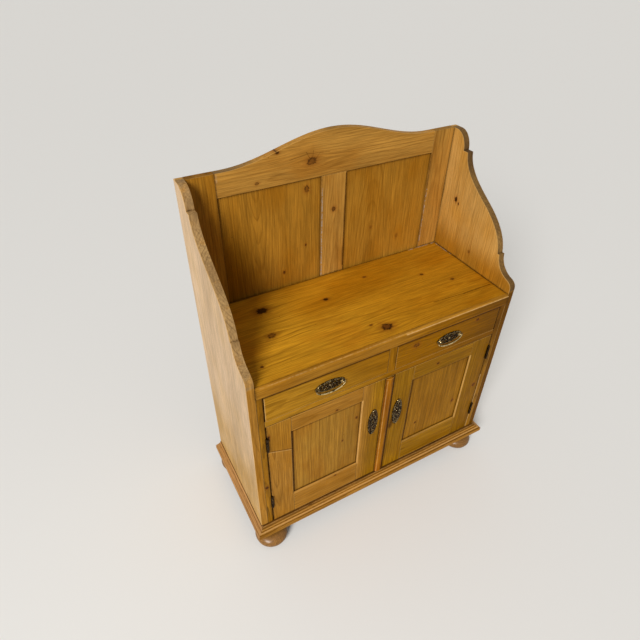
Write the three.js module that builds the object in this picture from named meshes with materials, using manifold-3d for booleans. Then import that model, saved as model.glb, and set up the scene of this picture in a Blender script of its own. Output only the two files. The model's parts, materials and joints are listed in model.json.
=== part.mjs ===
// A pine dry sink cabinet, in millimetres, with +Z up, its front facing -Y and its origin
// on the floor below the middle of its outer box. Two scroll-cut sides and an arched, panelled
// back stand as a gallery round the worktop. Below it are two drawers, side by side, and a
// cupboard with a shelf and two framed doors, on a moulded base with four bun feet.
import * as THREE from "three";
import { ConvexGeometry } from "three/addons/geometries/ConvexGeometry.js";
import { mergeVertices } from "three/addons/utils/BufferGeometryUtils.js";
import Module from "manifold-3d";

const wasm = await Module();
wasm.setup();

// Clearances
const fit = 0.3;
const doorGap = 2;
const drawerGap = 1.5;
const sideGap = 3.5;
const overrun = 20;
const mergeTolerance = 0.0001;

// Body
const bodyWidth = 960;
const bodyDepth = 410;
const sideThick = 24;
const sideTop = 1202;
const scrollSteps = 14;
const housingDepth = 8;

// Feet
const footHeight = 60;
const footRadius = 58;
const footBulge = 30;
const neckHeight = 5;
const neckRadius = 21;
const seatRadius = 25;
const seatHeight = 6;
const spigotRadius = 10;
const spigotLength = 18;
const footInset = 35;
const footOut = 54;
const rightFootInset = 62;
const rightFootSetback = 12;
const footRings = 6;
const footSides = 24;

// Moulded base
const baseThick = 34;
const baseWidth = 80;
const baseFrontLip = 29;
const baseSideLip = 23;
const baseNoseDrop = 14;
const baseNoseRound = 4;
const baseUnderRound = 3;
const baseCoveWidth = 17;
const baseCoveDrop = 10;
const baseFillet = 2;
const mouldingSteps = 6;

// Worktop and its rounded nose
const worktopTop = 769;
const worktopThick = 24;
const noseHeight = 40;
const noseDepth = 23;
const noseOut = 5;
const noseRound = 9;
const noseUnderRound = 6;

// Boards inside the body
const drawerOpening = 104;
const dustThick = 22;
const bottomThick = 22;
const shelfTop = 350;
const shelfThick = 18;
const shelfSetback = 70;
const guideHeight = 20;
const dividerWidth = 28;

// Front stiles
const frontStileWidth = 20;
const stileBehindDoor = 2;

// Panelled back
const backThick = 22;
const backStileWidth = 80;
const backMidWidth = 88;
const backTopRailWidth = 71;
const backBottomRailWidth = 80;
const archRise = 65;
const archHalfSpan = 355;
const archSteps = 36;

// Panels and the joints of every frame
const panelThick = 8;
const panelRecess = 7;
const grooveDepth = 9;
const tenonLength = 30;
const tenonSet = 12;
const bevel = 3;

// Doors
const doorThick = 22;
const doorStileWidth = 80;
const doorTopRailWidth = 66;
const doorBottomRailWidth = 106;
const meetingLine = 17.5;
const meetingPanelEdge = 100;
const stripWidth = 35;
const stripThick = 9;
const stripFillet = 4;
const stripStep = 3;
const stripShort = 2;
const stripSteps = 12;

// Hinges
const hingeHeight = 62;
const hingeBelowTop = 50;
const hingeAboveBottom = 87;
const leafThick = 1.5;
const leafDepth = 20;
const knuckleRadius = 3.8;
const knuckleSink = 0.3;
const knuckleCount = 5;
const knuckleGap = 0.4;
const knuckleClear = 0.7;
const pinRadius = 1.8;
const hingeSides = 12;

// Drawers
const drawerFrontThick = 20;
const drawerWallThick = 10;
const drawerWallDrop = 10;
const drawerBehind = 18;
const drawerBottomThick = 6;
const drawerBottomUp = 8;
const drawerGroove = 5;
const tailCount = 3;
const tailLength = 14;
const tailEndShare = 0.65;
const tailRootShare = 0.42;

// Drop handles
const pullWidth = 102;
const pullHeight = 42;
const pullLobes = 14;
const pullLobe = 1.6;
const plateThick = 2;
const pullHoleWidth = 9;
const pullHoleHeight = 6;
const pullSides = 12;
const earRadius = 4;
const earLength = 9;
const earInset = 10;
const bailDrop = 25;
const bailRadius = 2.5;
const bailPivotOut = 7;
const bailPinRadius = 1.5;
const bailSideGap = 0.5;
const bailSteps = 16;
const bailSides = 8;

// Keyhole plates
const keyPlateWidth = 40;
const keyPlateHeight = 130;
const keyPlateLobes = 18;
const keyPlateLobe = 1.8;
const keyPlateCentre = 50;
const keyPlateLevel = 406;
const keyRadius = 3.5;
const keySlotWidth = 3.5;
const keySlotDrop = 13;
const keyHoleHeight = 11;
const keyHoleWidth = 8;
const lobeSteps = 4;
const piercingSteps = 4;

// Places of the piercings, as shares of half of a plate's width and height
const pullHoleShares = { across: [-0.51, -0.255, 0, 0.255, 0.51], up: 0.43 };
const keyHoleShares = [0.43, 0.7];

// Outline of a scroll-cut side above the worktop, as shares of the body's depth from the
// front and of the gallery's height from the worktop up
const scrollShares = {
  tip: [0, 0.039],
  noseRise: [0, 0.079],
  noseTurn: [0.029, 0.095],
  noseTop: [0.068, 0.106],
  coveDip: [0.134, 0.127],
  coveRise: [0.183, 0.176],
  coveTop: [0.19, 0.256],
  lowerStep: [0.212, 0.256],
  swellRise: [0.227, 0.372],
  swellTurn: [0.317, 0.468],
  swellEnd: [0.427, 0.54],
  hollowDip: [0.556, 0.626],
  hollowRise: [0.739, 0.718],
  hollowTop: [0.749, 0.866],
  upperStep: [0.8, 0.866],
  capEnd: [0.917, 1],
};

// Places worked out from the sizes
const bodyFront = -(bodyDepth + footOut) / 2 + footOut;
const bodyBack = bodyFront + bodyDepth;
const inner = bodyWidth / 2 - sideThick;
const baseTop = footHeight + baseThick;
const backFront = bodyBack - backThick;
const worktopBottom = worktopTop - worktopThick;
const noseBottom = worktopTop - noseHeight;
const dustTop = noseBottom - drawerOpening;
const dustBottom = dustTop - dustThick;
const stileEdge = inner - frontStileWidth;
const doorEdge = stileEdge - sideGap;
const doorBottom = baseTop + doorGap;
const doorTop = dustBottom - doorGap;
const doorBack = bodyFront + doorThick;
const stileBack = doorBack + stileBehindDoor;
const hingeX = (stileEdge + doorEdge) / 2;
const hingeY = bodyFront - knuckleRadius + knuckleSink;
const hingeUpper = doorTop - hingeBelowTop - hingeHeight / 2;
const hingeLower = doorBottom + hingeAboveBottom + hingeHeight / 2;
const backPanelTop = sideTop - backTopRailWidth;
const backPanelBottom = baseTop + backBottomRailWidth;

// Wood and metal
const materials = {
  honeyPine: wood(0xb27a35),
  palePine: wood(0xc39a5f),
  insidePine: wood(0xb58d58),
  redPine: wood(0xa4602c),
  basePine: wood(0xa8713a),
  brass: metal(0x7a6233),
  iron: metal(0x3a2c22),
};

function wood(color) {
  return new THREE.MeshStandardMaterial({ color, roughness: 0.5, metalness: 0 });
}

function metal(color) {
  return new THREE.MeshStandardMaterial({ color, roughness: 0.4, metalness: 0.9 });
}

// Turns a closed geometry into a solid that can be joined and cut
function toSolid(geometry) {
  geometry.deleteAttribute("normal");
  geometry.deleteAttribute("uv");
  const merged = mergeVertices(geometry, mergeTolerance);
  const kept = [];
  const index = merged.index.array;
  for (let i = 0; i < index.length; i += 3) {
    const [a, b, c] = index.slice(i, i + 3);
    if (a !== b && b !== c && c !== a) kept.push(a, b, c);
  }
  return new wasm.Manifold(
    new wasm.Mesh({
      numProp: 3,
      vertProperties: new Float32Array(merged.attributes.position.array),
      triVerts: new Uint32Array(kept),
    }),
  );
}

function toGeometry(solid) {
  const mesh = solid.getMesh();
  const geometry = new THREE.BufferGeometry();
  geometry.setAttribute("position", new THREE.BufferAttribute(mesh.vertProperties, 3));
  geometry.setIndex(new THREE.BufferAttribute(mesh.triVerts, 1));
  geometry.computeVertexNormals();
  return geometry;
}

function piece(group, name, solid, material) {
  const mesh = new THREE.Mesh(toGeometry(solid), material);
  mesh.name = name;
  group.add(mesh);
  return mesh;
}

const handName = (hand) => (hand > 0 ? "right" : "left");

// A range across the width, near the middle to far from it, on the side that hand says
const across = (hand, [near, far]) => (hand > 0 ? [near, far] : [-far, -near]);

const grown = ([low, high], by) => [low - by, high + by];

const joined = (solids) => solids.reduce((sum, solid) => sum.add(solid));

const cutBy = (solid, cutters) => cutters.reduce((rest, cutter) => rest.subtract(cutter), solid);

function block([x0, x1], [y0, y1], [z0, z1]) {
  const box = new THREE.BoxGeometry(x1 - x0, y1 - y0, z1 - z0);
  box.translate((x0 + x1) / 2, (y0 + y1) / 2, (z0 + z1) / 2);
  return toSolid(box);
}

const axisX = new THREE.Vector3(1, 0, 0);
const axisY = new THREE.Vector3(0, 1, 0);
const axisZ = new THREE.Vector3(0, 0, 1);
const axisFront = new THREE.Vector3(0, -1, 0);

function extruded(shape, depth, curveSegments) {
  return new THREE.ExtrudeGeometry(shape, { depth, bevelEnabled: false, curveSegments });
}

// An outline drawn in depth and height, drawn out across the width
function alongX(shape, [x0, x1], curveSegments = 8) {
  const bar = extruded(shape, x1 - x0, curveSegments);
  bar.applyMatrix4(new THREE.Matrix4().makeBasis(axisY, axisZ, axisX));
  bar.translate(x0, 0, 0);
  return toSolid(bar);
}

// An outline drawn in width and height, drawn out through the depth
function alongY(shape, [y0, y1], curveSegments = 8) {
  const bar = extruded(shape, y1 - y0, curveSegments);
  bar.applyMatrix4(new THREE.Matrix4().makeBasis(axisX, axisZ, axisFront));
  bar.translate(0, y1, 0);
  return toSolid(bar);
}

// An outline drawn in width and depth, drawn out upwards
function alongZ(shape, [z0, z1], curveSegments = 8) {
  const bar = extruded(shape, z1 - z0, curveSegments);
  bar.translate(0, 0, z0);
  return toSolid(bar);
}

function outlineOf(points) {
  return new THREE.Shape(points.map(([a, b]) => new THREE.Vector2(a, b)));
}

function uprightRod(radius, x, y, [z0, z1], sides) {
  const rod = new THREE.CylinderGeometry(radius, radius, z1 - z0, sides);
  rod.rotateX(Math.PI / 2);
  rod.translate(x, y, (z0 + z1) / 2);
  return toSolid(rod);
}

function acrossRod(radius, [x0, x1], y, z, sides) {
  const rod = new THREE.CylinderGeometry(radius, radius, x1 - x0, sides);
  rod.rotateZ(Math.PI / 2);
  rod.translate((x0 + x1) / 2, y, z);
  return toSolid(rod);
}

function forwardRod(radius, x, [y0, y1], z, sides) {
  const rod = new THREE.CylinderGeometry(radius, radius, y1 - y0, sides);
  rod.translate(x, (y0 + y1) / 2, z);
  return toSolid(rod);
}

// Scroll-cut sides
function sideOutline() {
  const at = ([depthShare, heightShare]) => [
    bodyFront + depthShare * bodyDepth,
    worktopTop + heightShare * (sideTop - worktopTop),
  ];
  const s = scrollShares;
  const capFoot = at(s.upperStep);
  const capEnd = at(s.capEnd);
  const outline = new THREE.Shape();
  outline.moveTo(bodyFront, baseTop + fit);
  outline.lineTo(...at(s.tip));
  outline.bezierCurveTo(...at(s.noseRise), ...at(s.noseTurn), ...at(s.noseTop));
  outline.bezierCurveTo(...at(s.coveDip), ...at(s.coveRise), ...at(s.coveTop));
  outline.lineTo(...at(s.lowerStep));
  outline.bezierCurveTo(...at(s.swellRise), ...at(s.swellTurn), ...at(s.swellEnd));
  outline.bezierCurveTo(...at(s.hollowDip), ...at(s.hollowRise), ...at(s.hollowTop));
  outline.lineTo(...capFoot);
  outline.absellipse(
    capEnd[0], capFoot[1], capEnd[0] - capFoot[0], capEnd[1] - capFoot[1], Math.PI, Math.PI / 2, true,
  );
  outline.lineTo(bodyBack, sideTop);
  outline.lineTo(bodyBack, baseTop + fit);
  return outline;
}

// The boards that the sides hold in stopped housings: where each starts and its heights
const housedBoards = [
  { front: stileBack, heights: [worktopBottom, worktopTop] },
  { front: stileBack, heights: [dustBottom, dustTop] },
  { front: bodyFront + shelfSetback, heights: [shelfTop - shelfThick, shelfTop] },
  { front: stileBack, heights: [baseTop + fit, baseTop + bottomThick] },
];

function sideBoard(hand) {
  const housings = housedBoards.map(({ front, heights }) =>
    block(
      across(hand, [inner - overrun, inner + housingDepth]),
      [front, backFront],
      grown(heights, fit),
    ),
  );
  const board = alongX(sideOutline(), across(hand, [inner, bodyWidth / 2]), scrollSteps);
  return cutBy(board, housings);
}

// A board between the sides, with an edge that enters their housings
function housedBoard(halfWidth, front, housedFront, heights) {
  const middle = block([-halfWidth, halfWidth], [front, backFront - fit], heights);
  const reach = inner + housingDepth - fit;
  const tongues = block([-reach, reach], [housedFront + fit, backFront - fit], heights);
  return middle.add(tongues);
}

function noseOutline() {
  const front = bodyFront - noseOut;
  const outline = new THREE.Shape();
  outline.moveTo(front + noseDepth, noseBottom);
  outline.lineTo(front + noseUnderRound, noseBottom);
  outline.absarc(
    front + noseUnderRound, noseBottom + noseUnderRound, noseUnderRound, -Math.PI / 2, -Math.PI, true,
  );
  outline.lineTo(front, worktopTop - noseRound);
  outline.absarc(front + noseRound, worktopTop - noseRound, noseRound, Math.PI, Math.PI / 2, true);
  outline.lineTo(front + noseDepth, worktopTop);
  return outline;
}

function worktop() {
  const halfWidth = inner - fit;
  const nose = alongX(noseOutline(), [-halfWidth, halfWidth]);
  const front = bodyFront - noseOut + noseRound;
  const board = housedBoard(halfWidth, front, stileBack, [worktopBottom, worktopTop]);
  return nose.add(board);
}

// The upright partition between the drawers is notched for the worktop's nose
function drawerDivider() {
  const noseBack = bodyFront - noseOut + noseDepth + fit;
  const profile = outlineOf([
    [bodyFront, dustTop + fit],
    [backFront - fit, dustTop + fit],
    [backFront - fit, worktopBottom - fit],
    [noseBack, worktopBottom - fit],
    [noseBack, noseBottom - fit],
    [bodyFront, noseBottom - fit],
  ]);
  return alongX(profile, [-dividerWidth / 2, dividerWidth / 2]);
}

function frontStile(hand) {
  const stile = block(
    across(hand, [stileEdge, inner - fit]),
    [bodyFront, stileBack],
    [baseTop + fit, noseBottom - fit],
  );
  return cutBy(stile, hingeRecesses(hand, [stileEdge - overrun, stileEdge + leafThick + fit]));
}

function drawerGuide(hand) {
  return block(
    across(hand, [drawerWidths[1] + drawerGap, inner - fit]),
    [stileBack + fit, backFront - fit],
    [dustTop + fit, dustTop + guideHeight],
  );
}

const quarterTurn = (steps, pointAt) =>
  Array.from({ length: steps + 1 }, (_, i) => pointAt((Math.PI / 2) * (i / steps)));

// Moulded base: one profile, measured outwards from a member's inner edge, mitred at the front
function baseOutline(place) {
  const noseTop = baseTop - baseNoseDrop;
  const coveEnd = baseWidth - baseNoseRound;
  const cove = quarterTurn(mouldingSteps, (turn) => [
    coveEnd - baseCoveWidth * Math.cos(turn),
    baseTop - baseFillet - baseCoveDrop * Math.sin(turn),
  ]);
  const bead = quarterTurn(mouldingSteps, (turn) => [
    coveEnd + baseNoseRound * Math.sin(turn),
    noseTop - baseNoseRound + baseNoseRound * Math.cos(turn),
  ]);
  const profile = [
    [0, footHeight],
    [0, baseTop],
    [coveEnd - baseCoveWidth, baseTop],
    ...cove,
    ...bead,
    [baseWidth, footHeight + baseUnderRound],
    [baseWidth - baseUnderRound, footHeight],
  ];
  return outlineOf(profile.map(([out, up]) => [place(out), up]));
}

const baseCornerX = bodyWidth / 2 + baseSideLip;
const baseCornerY = bodyFront - baseFrontLip;

// What lies beyond the mitre, seen from the front member or from the side member
function mitreWedge(hand, fromFront) {
  const reach = baseWidth + overrun;
  const line = hand * (fromFront ? baseCornerX - fit : baseCornerX);
  const outside = line + hand * overrun;
  const inside = line - hand * reach;
  const corner = fromFront ? [outside, baseCornerY + reach] : [inside, baseCornerY - overrun];
  const wedge = outlineOf([[outside, baseCornerY - overrun], [inside, baseCornerY + reach], corner]);
  return alongZ(wedge, [footHeight - overrun, baseTop + overrun]);
}

// The right front foot stands a little further in than the others
const footX = bodyWidth / 2 - footInset;
const footFrontY = bodyFront - footOut + footRadius;
const footBackY = bodyBack - footRadius;
const footPlaces = [
  { name: "left_front_foot", x: -footX, y: footFrontY },
  { name: "right_front_foot", x: bodyWidth / 2 - rightFootInset, y: footFrontY + rightFootSetback },
  { name: "left_back_foot", x: -footX, y: footBackY },
  { name: "right_back_foot", x: footX, y: footBackY },
];

function spigotHoles() {
  const heights = [footHeight - overrun, footHeight + spigotLength + fit];
  return footPlaces.map(({ x, y }) => uprightRod(spigotRadius + fit, x, y, heights, footSides));
}

function baseFront() {
  const member = alongX(baseOutline((out) => baseCornerY + baseWidth - out), [-baseCornerX, baseCornerX]);
  return cutBy(member, [mitreWedge(-1, true), mitreWedge(1, true), ...spigotHoles()]);
}

function baseSide(hand) {
  const place = (out) => hand * (baseCornerX - baseWidth + out);
  const member = alongY(baseOutline(place), [baseCornerY, bodyBack]);
  return cutBy(member, [mitreWedge(hand, false), ...spigotHoles()]);
}

function bunFoot() {
  const waist = footRadius - footBulge;
  const bunHeight = footHeight - seatHeight - neckHeight;
  const profile = new THREE.Path();
  profile.moveTo(0, 0);
  profile.lineTo(waist, 0);
  profile.absellipse(waist, bunHeight / 2, footBulge, bunHeight / 2, -Math.PI / 2, Math.PI / 2, false);
  profile.lineTo(neckRadius, bunHeight);
  profile.lineTo(seatRadius, footHeight - seatHeight);
  profile.lineTo(seatRadius, footHeight - fit);
  profile.lineTo(spigotRadius, footHeight - fit);
  profile.lineTo(spigotRadius, footHeight - fit + spigotLength);
  profile.lineTo(0, footHeight - fit + spigotLength);
  const turned = new THREE.LatheGeometry(profile.getPoints(footRings), footSides);
  turned.rotateX(Math.PI / 2);
  return toSolid(turned);
}

// Frames: the groove that holds a panel, the tenons of a rail and the bevel round the opening
const grooveOf = (face) => [face + panelRecess - fit, face + panelRecess + panelThick + fit];

const tongueOf = (face) => [face + panelRecess, face + panelRecess + panelThick];

function grooveRound(face, [x0, x1], [z0, z1]) {
  return block(grown([x0, x1], grooveDepth), grooveOf(face), grown([z0, z1], grooveDepth));
}

function openingBevel(face, [x0, x1], [z0, z1]) {
  const points = [];
  for (const step of [-bevel, bevel]) {
    const out = bevel - step;
    for (const x of [x0 - out, x1 + out]) {
      for (const z of [z0 - out, z1 + out]) points.push(new THREE.Vector3(x, face + step, z));
    }
  }
  return toSolid(new ConvexGeometry(points));
}

function tenons(face, [x0, x1], [z0, z1]) {
  return block(grown([x0, x1], tenonLength - fit), tongueOf(face), [z0 + tenonSet, z1 - tenonSet]);
}

function mortises(face, [x0, x1], [z0, z1]) {
  return block(
    grown([x0, x1], tenonLength),
    grooveOf(face),
    [z0 + tenonSet - fit, z1 - tenonSet + fit],
  );
}

// Panelled back, whose top rail is cut to an arch
const backStileEdge = inner - backStileWidth;
const backOpenings = [-1, 1].map((hand) => ({
  hand,
  widths: across(hand, [backMidWidth / 2, backStileEdge]),
  heights: [backPanelBottom, backPanelTop],
}));
const backTopRailHeights = [backPanelTop, sideTop];
const backBottomRailHeights = [baseTop + fit, backPanelBottom];

const backGrooves = () => backOpenings.map(({ widths, heights }) => grooveRound(backFront, widths, heights));

// The stub tenon at each end of the middle stile, or the sockets for it with some clearance
function backMidTenon(clear) {
  const halfWidth = backMidWidth / 2 - tenonSet + clear;
  const depths = grown(tongueOf(backFront), clear);
  return block([-halfWidth, halfWidth], depths, grown([backPanelBottom, backPanelTop], grooveDepth + clear));
}

function backStile(hand) {
  const stile = block(
    across(hand, [backStileEdge, inner - fit]),
    [backFront, bodyBack],
    [baseTop + fit, sideTop],
  );
  const span = [-backStileEdge, backStileEdge];
  return cutBy(stile, [
    ...backGrooves(),
    mortises(backFront, span, backTopRailHeights),
    mortises(backFront, span, backBottomRailHeights),
  ]);
}

function backTopRail() {
  const end = backStileEdge - fit;
  const arch = [];
  for (let i = 0; i <= archSteps; i += 1) {
    const x = archHalfSpan * (1 - (2 * i) / archSteps);
    arch.push([x, sideTop + (archRise * (1 + Math.cos((Math.PI * x) / archHalfSpan))) / 2]);
  }
  const outline = outlineOf([
    [-end, backPanelTop],
    [end, backPanelTop],
    [end, sideTop],
    ...arch,
    [-end, sideTop],
  ]);
  const rail = alongY(outline, [backFront, bodyBack]);
  const withTenons = rail.add(tenons(backFront, [-end, end], backTopRailHeights));
  return cutBy(withTenons, [...backGrooves(), backMidTenon(fit)]);
}

function backBottomRail() {
  const end = backStileEdge - fit;
  const rail = block([-end, end], [backFront, bodyBack], [baseTop + fit, backPanelBottom]);
  const withTenons = rail.add(tenons(backFront, [-end, end], backBottomRailHeights));
  return cutBy(withTenons, [...backGrooves(), backMidTenon(fit)]);
}

function backMidStile() {
  const widths = [-backMidWidth / 2, backMidWidth / 2];
  const heights = [backPanelBottom + fit, backPanelTop - fit];
  const stile = block(widths, [backFront, bodyBack], heights);
  return cutBy(stile, backGrooves()).add(backMidTenon(0));
}

function panelIn(face, widths, heights) {
  const hold = grooveDepth - fit;
  return block(grown(widths, hold), tongueOf(face), grown(heights, hold));
}

// Doors: hand says which side the hinges are on
const doors = [-1, 1].map((hand) => {
  const free = hand > 0 ? meetingLine + doorGap / 2 : -meetingLine + doorGap / 2;
  return {
    hand,
    name: handName(hand),
    widths: [free, doorEdge],
    opening: [meetingPanelEdge, doorEdge - doorStileWidth],
  };
});
const doorHeights = [doorBottom, doorTop];
const doorOpeningHeights = [doorBottom + doorBottomRailWidth, doorTop - doorTopRailWidth];
const doorTopRailHeights = [doorOpeningHeights[1], doorTop];
const doorBottomRailHeights = [doorBottom, doorOpeningHeights[0]];
const doorDepths = [bodyFront, doorBack];

function doorCuts({ hand, opening }) {
  const widths = across(hand, opening);
  return [
    grooveRound(bodyFront, widths, doorOpeningHeights),
    openingBevel(bodyFront, widths, doorOpeningHeights),
  ];
}

function doorMortises({ hand, opening }) {
  return [doorTopRailHeights, doorBottomRailHeights].map((heights) =>
    mortises(bodyFront, across(hand, opening), heights),
  );
}

function doorOuterStile(door) {
  const stile = block(across(door.hand, [door.opening[1], doorEdge]), doorDepths, doorHeights);
  const recesses = hingeRecesses(door.hand, [doorEdge - leafThick - fit, doorEdge + overrun]);
  return cutBy(stile, [...doorCuts(door), ...doorMortises(door), ...recesses]);
}

function doorMeetingStile(door) {
  const stile = block(across(door.hand, [door.widths[0], door.opening[0]]), doorDepths, doorHeights);
  const keyway = keyhole(door.hand * keyPlateCentre, [bodyFront - overrun, doorBack + overrun], 0);
  return cutBy(stile, [...doorCuts(door), ...doorMortises(door), keyway]);
}

function doorRail(door, heights) {
  const widths = across(door.hand, [door.opening[0] + fit, door.opening[1] - fit]);
  const rail = block(widths, doorDepths, heights).add(tenons(bodyFront, widths, heights));
  return cutBy(rail, doorCuts(door));
}

// The half-round strip that covers the meeting of the doors is carried by the left door
function meetingStrip() {
  const right = meetingLine - doorGap / 2;
  const left = right - stripWidth;
  const back = bodyFront - fit;
  const shoulder = back - stripStep;
  const halfRound = stripWidth / 2 - stripFillet;
  const outline = new THREE.Shape();
  outline.moveTo(left, back);
  outline.lineTo(right, back);
  outline.lineTo(right, shoulder);
  outline.lineTo(right - stripFillet, shoulder);
  outline.absellipse(right - stripWidth / 2, shoulder, halfRound, stripThick - stripStep, 0, -Math.PI, true);
  outline.lineTo(left, shoulder);
  return alongZ(outline, grown(doorHeights, -stripShort), stripSteps);
}

// Butt hinges: three knuckles and the pin on the body's leaf, two on the door's
function hingeRecesses(hand, widths) {
  return [hingeUpper, hingeLower].map((level) =>
    block(
      across(hand, widths),
      [bodyFront - overrun, bodyFront + leafDepth + fit],
      grown([level, level], hingeHeight / 2 + fit),
    ),
  );
}

function knuckleSpans(level) {
  const pitch = hingeHeight / knuckleCount;
  return Array.from({ length: knuckleCount }, (_, i) => {
    const low = level - hingeHeight / 2 + i * pitch;
    return [low + knuckleGap / 2, low + pitch - knuckleGap / 2];
  });
}

function hingeLeaf(hand, level, onDoor) {
  const widths = onDoor ? [doorEdge - leafThick, doorEdge] : [stileEdge, stileEdge + leafThick];
  const plateFront = hingeY + knuckleRadius + knuckleClear;
  const plate = block(
    across(hand, widths),
    [plateFront, bodyFront + leafDepth],
    grown([level, level], hingeHeight / 2),
  );
  const own = knuckleSpans(level).filter((_, i) => (i % 2 === 1) === onDoor);
  const barrels = own.map((span) => uprightRod(knuckleRadius, hand * hingeX, hingeY, span, hingeSides));
  const tabs = own.map((span) => block(across(hand, widths), [hingeY, plateFront + fit], span));
  const leaf = joined([plate, ...barrels, ...tabs]);
  const length = grown([level, level], hingeHeight / 2);
  if (!onDoor) return leaf.add(uprightRod(pinRadius, hand * hingeX, hingeY, length, hingeSides));
  const bore = uprightRod(pinRadius + knuckleGap, hand * hingeX, hingeY, grown(length, overrun), hingeSides);
  return leaf.subtract(bore);
}

// Keyhole through a plate or a stile: a round hole over a slot
function keyhole(x, depths, clear) {
  const top = keyPlateLevel;
  const round = forwardRod(keyRadius + clear, x, depths, top, pullSides);
  const halfSlot = keySlotWidth / 2 + clear;
  return round.add(block([x - halfSlot, x + halfSlot], depths, [top - keySlotDrop - clear, top]));
}

function lobedOval(width, height, lobes, lobe) {
  const points = [];
  const steps = lobes * lobeSteps;
  for (let i = 0; i < steps; i += 1) {
    const turn = (2 * Math.PI * i) / steps;
    const swell = lobe * Math.cos(lobes * turn);
    const x = (width / 2 - lobe + swell) * Math.cos(turn);
    points.push(new THREE.Vector2(x, (height / 2 - lobe + swell) * Math.sin(turn)));
  }
  return new THREE.Shape(points);
}

function piercing(x, z, width, height) {
  const hole = new THREE.Path();
  hole.absellipse(x, z, width / 2, height / 2, 0, Math.PI * 2, false);
  return hole;
}

const plateDepths = [bodyFront - fit - plateThick, bodyFront - fit];

function keyPlate(hand) {
  const outline = lobedOval(keyPlateWidth, keyPlateHeight, keyPlateLobes, keyPlateLobe);
  for (const share of keyHoleShares) {
    const up = (share * keyPlateHeight) / 2;
    outline.holes.push(piercing(0, up, keyHoleWidth, keyHoleHeight));
    outline.holes.push(piercing(0, -up, keyHoleWidth, keyHoleHeight));
  }
  const x = hand * keyPlateCentre;
  const plate = alongY(outline, plateDepths, piercingSteps).translate([x, 0, keyPlateLevel]);
  return plate.subtract(keyhole(x, grown(plateDepths, overrun), 0));
}

// Drawers: lapped dovetails at the front, through dovetails at the back
const drawerWidths = [dividerWidth / 2 + drawerGap, stileEdge - sideGap];
const drawerLow = dustTop + fit;
const drawerFrontHeights = [drawerLow, noseBottom - drawerGap];
const drawerFrontBack = bodyFront + drawerFrontThick;
const drawerBack = backFront - drawerBehind;
const drawerWallHeights = [drawerLow, drawerFrontHeights[1] - drawerWallDrop];
const drawerFloor = [drawerLow + drawerBottomUp, drawerLow + drawerBottomUp + drawerBottomThick];
const drawerMiddle = (drawerWidths[0] + drawerWidths[1]) / 2;
const drawerWalls = [
  [drawerWidths[0], drawerWidths[0] + drawerWallThick],
  [drawerWidths[1] - drawerWallThick, drawerWidths[1]],
];
const frontShoulder = drawerFrontBack + fit;
const frontTailEnd = drawerFrontBack - tailLength;
const backShoulder = drawerBack - drawerWallThick - fit;

// The tails of a drawer side, from its shoulder to their ends, or with some clearance their sockets
function dovetails(widths, shoulder, end, clear) {
  const way = Math.sign(end - shoulder);
  const pitch = (drawerWallHeights[1] - drawerWallHeights[0]) / tailCount;
  const root = shoulder - way * (clear > 0 ? overrun : fit);
  const tails = Array.from({ length: tailCount }, (_, i) => {
    const middle = drawerLow + pitch * (i + 0.5);
    const narrow = (tailRootShare * pitch) / 2 + clear;
    const wide = (tailEndShare * pitch) / 2 + clear;
    const outline = outlineOf([
      [root, middle - narrow],
      [shoulder, middle - narrow],
      [end + way * clear, middle - wide],
      [end + way * clear, middle + wide],
      [shoulder, middle + narrow],
      [root, middle + narrow],
    ]);
    return alongX(outline, grown(widths, clear));
  });
  return joined(tails);
}

function drawerFloorSlot(hand) {
  const widths = [drawerWalls[0][1] - drawerGroove, drawerWalls[1][0] + drawerGroove];
  return block(
    across(hand, widths),
    [drawerFrontBack - drawerGroove, drawerBack + overrun],
    grown(drawerFloor, fit),
  );
}

function drawerFront(hand) {
  const front = block(across(hand, drawerWidths), [bodyFront, drawerFrontBack], drawerFrontHeights);
  const sockets = drawerWalls.map((wall) => dovetails(across(hand, wall), frontShoulder, frontTailEnd, fit));
  return cutBy(front, [...sockets, drawerFloorSlot(hand)]);
}

function drawerSide(hand, wall) {
  const widths = across(hand, wall);
  const side = block(widths, [frontShoulder, backShoulder], drawerWallHeights);
  const frontTails = dovetails(widths, frontShoulder, frontTailEnd, 0);
  const backTails = dovetails(widths, backShoulder, drawerBack, 0);
  return joined([side, frontTails, backTails]).subtract(drawerFloorSlot(hand));
}

function drawerBackBoard(hand) {
  const heights = [drawerFloor[1] + fit, drawerWallHeights[1]];
  const board = block(across(hand, drawerWidths), [backShoulder + fit, drawerBack], heights);
  const sockets = drawerWalls.map((wall) => dovetails(across(hand, wall), backShoulder, drawerBack, fit));
  return cutBy(board, sockets);
}

function drawerBottom(hand) {
  const hold = drawerGroove - fit;
  const widths = [drawerWalls[0][1] - hold, drawerWalls[1][0] + hold];
  return block(across(hand, widths), [drawerFrontBack - hold, drawerBack], drawerFloor);
}

// Drop handles: a pierced plate with two ears, and a bail that hangs by its pins in them
const pullLevel = (drawerFrontHeights[0] + drawerFrontHeights[1]) / 2;
const bailY = bodyFront - fit - bailPivotOut;
const earReach = pullWidth / 2 - earInset;
const bailReach = earReach + earRadius + bailSideGap + bailRadius;

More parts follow.
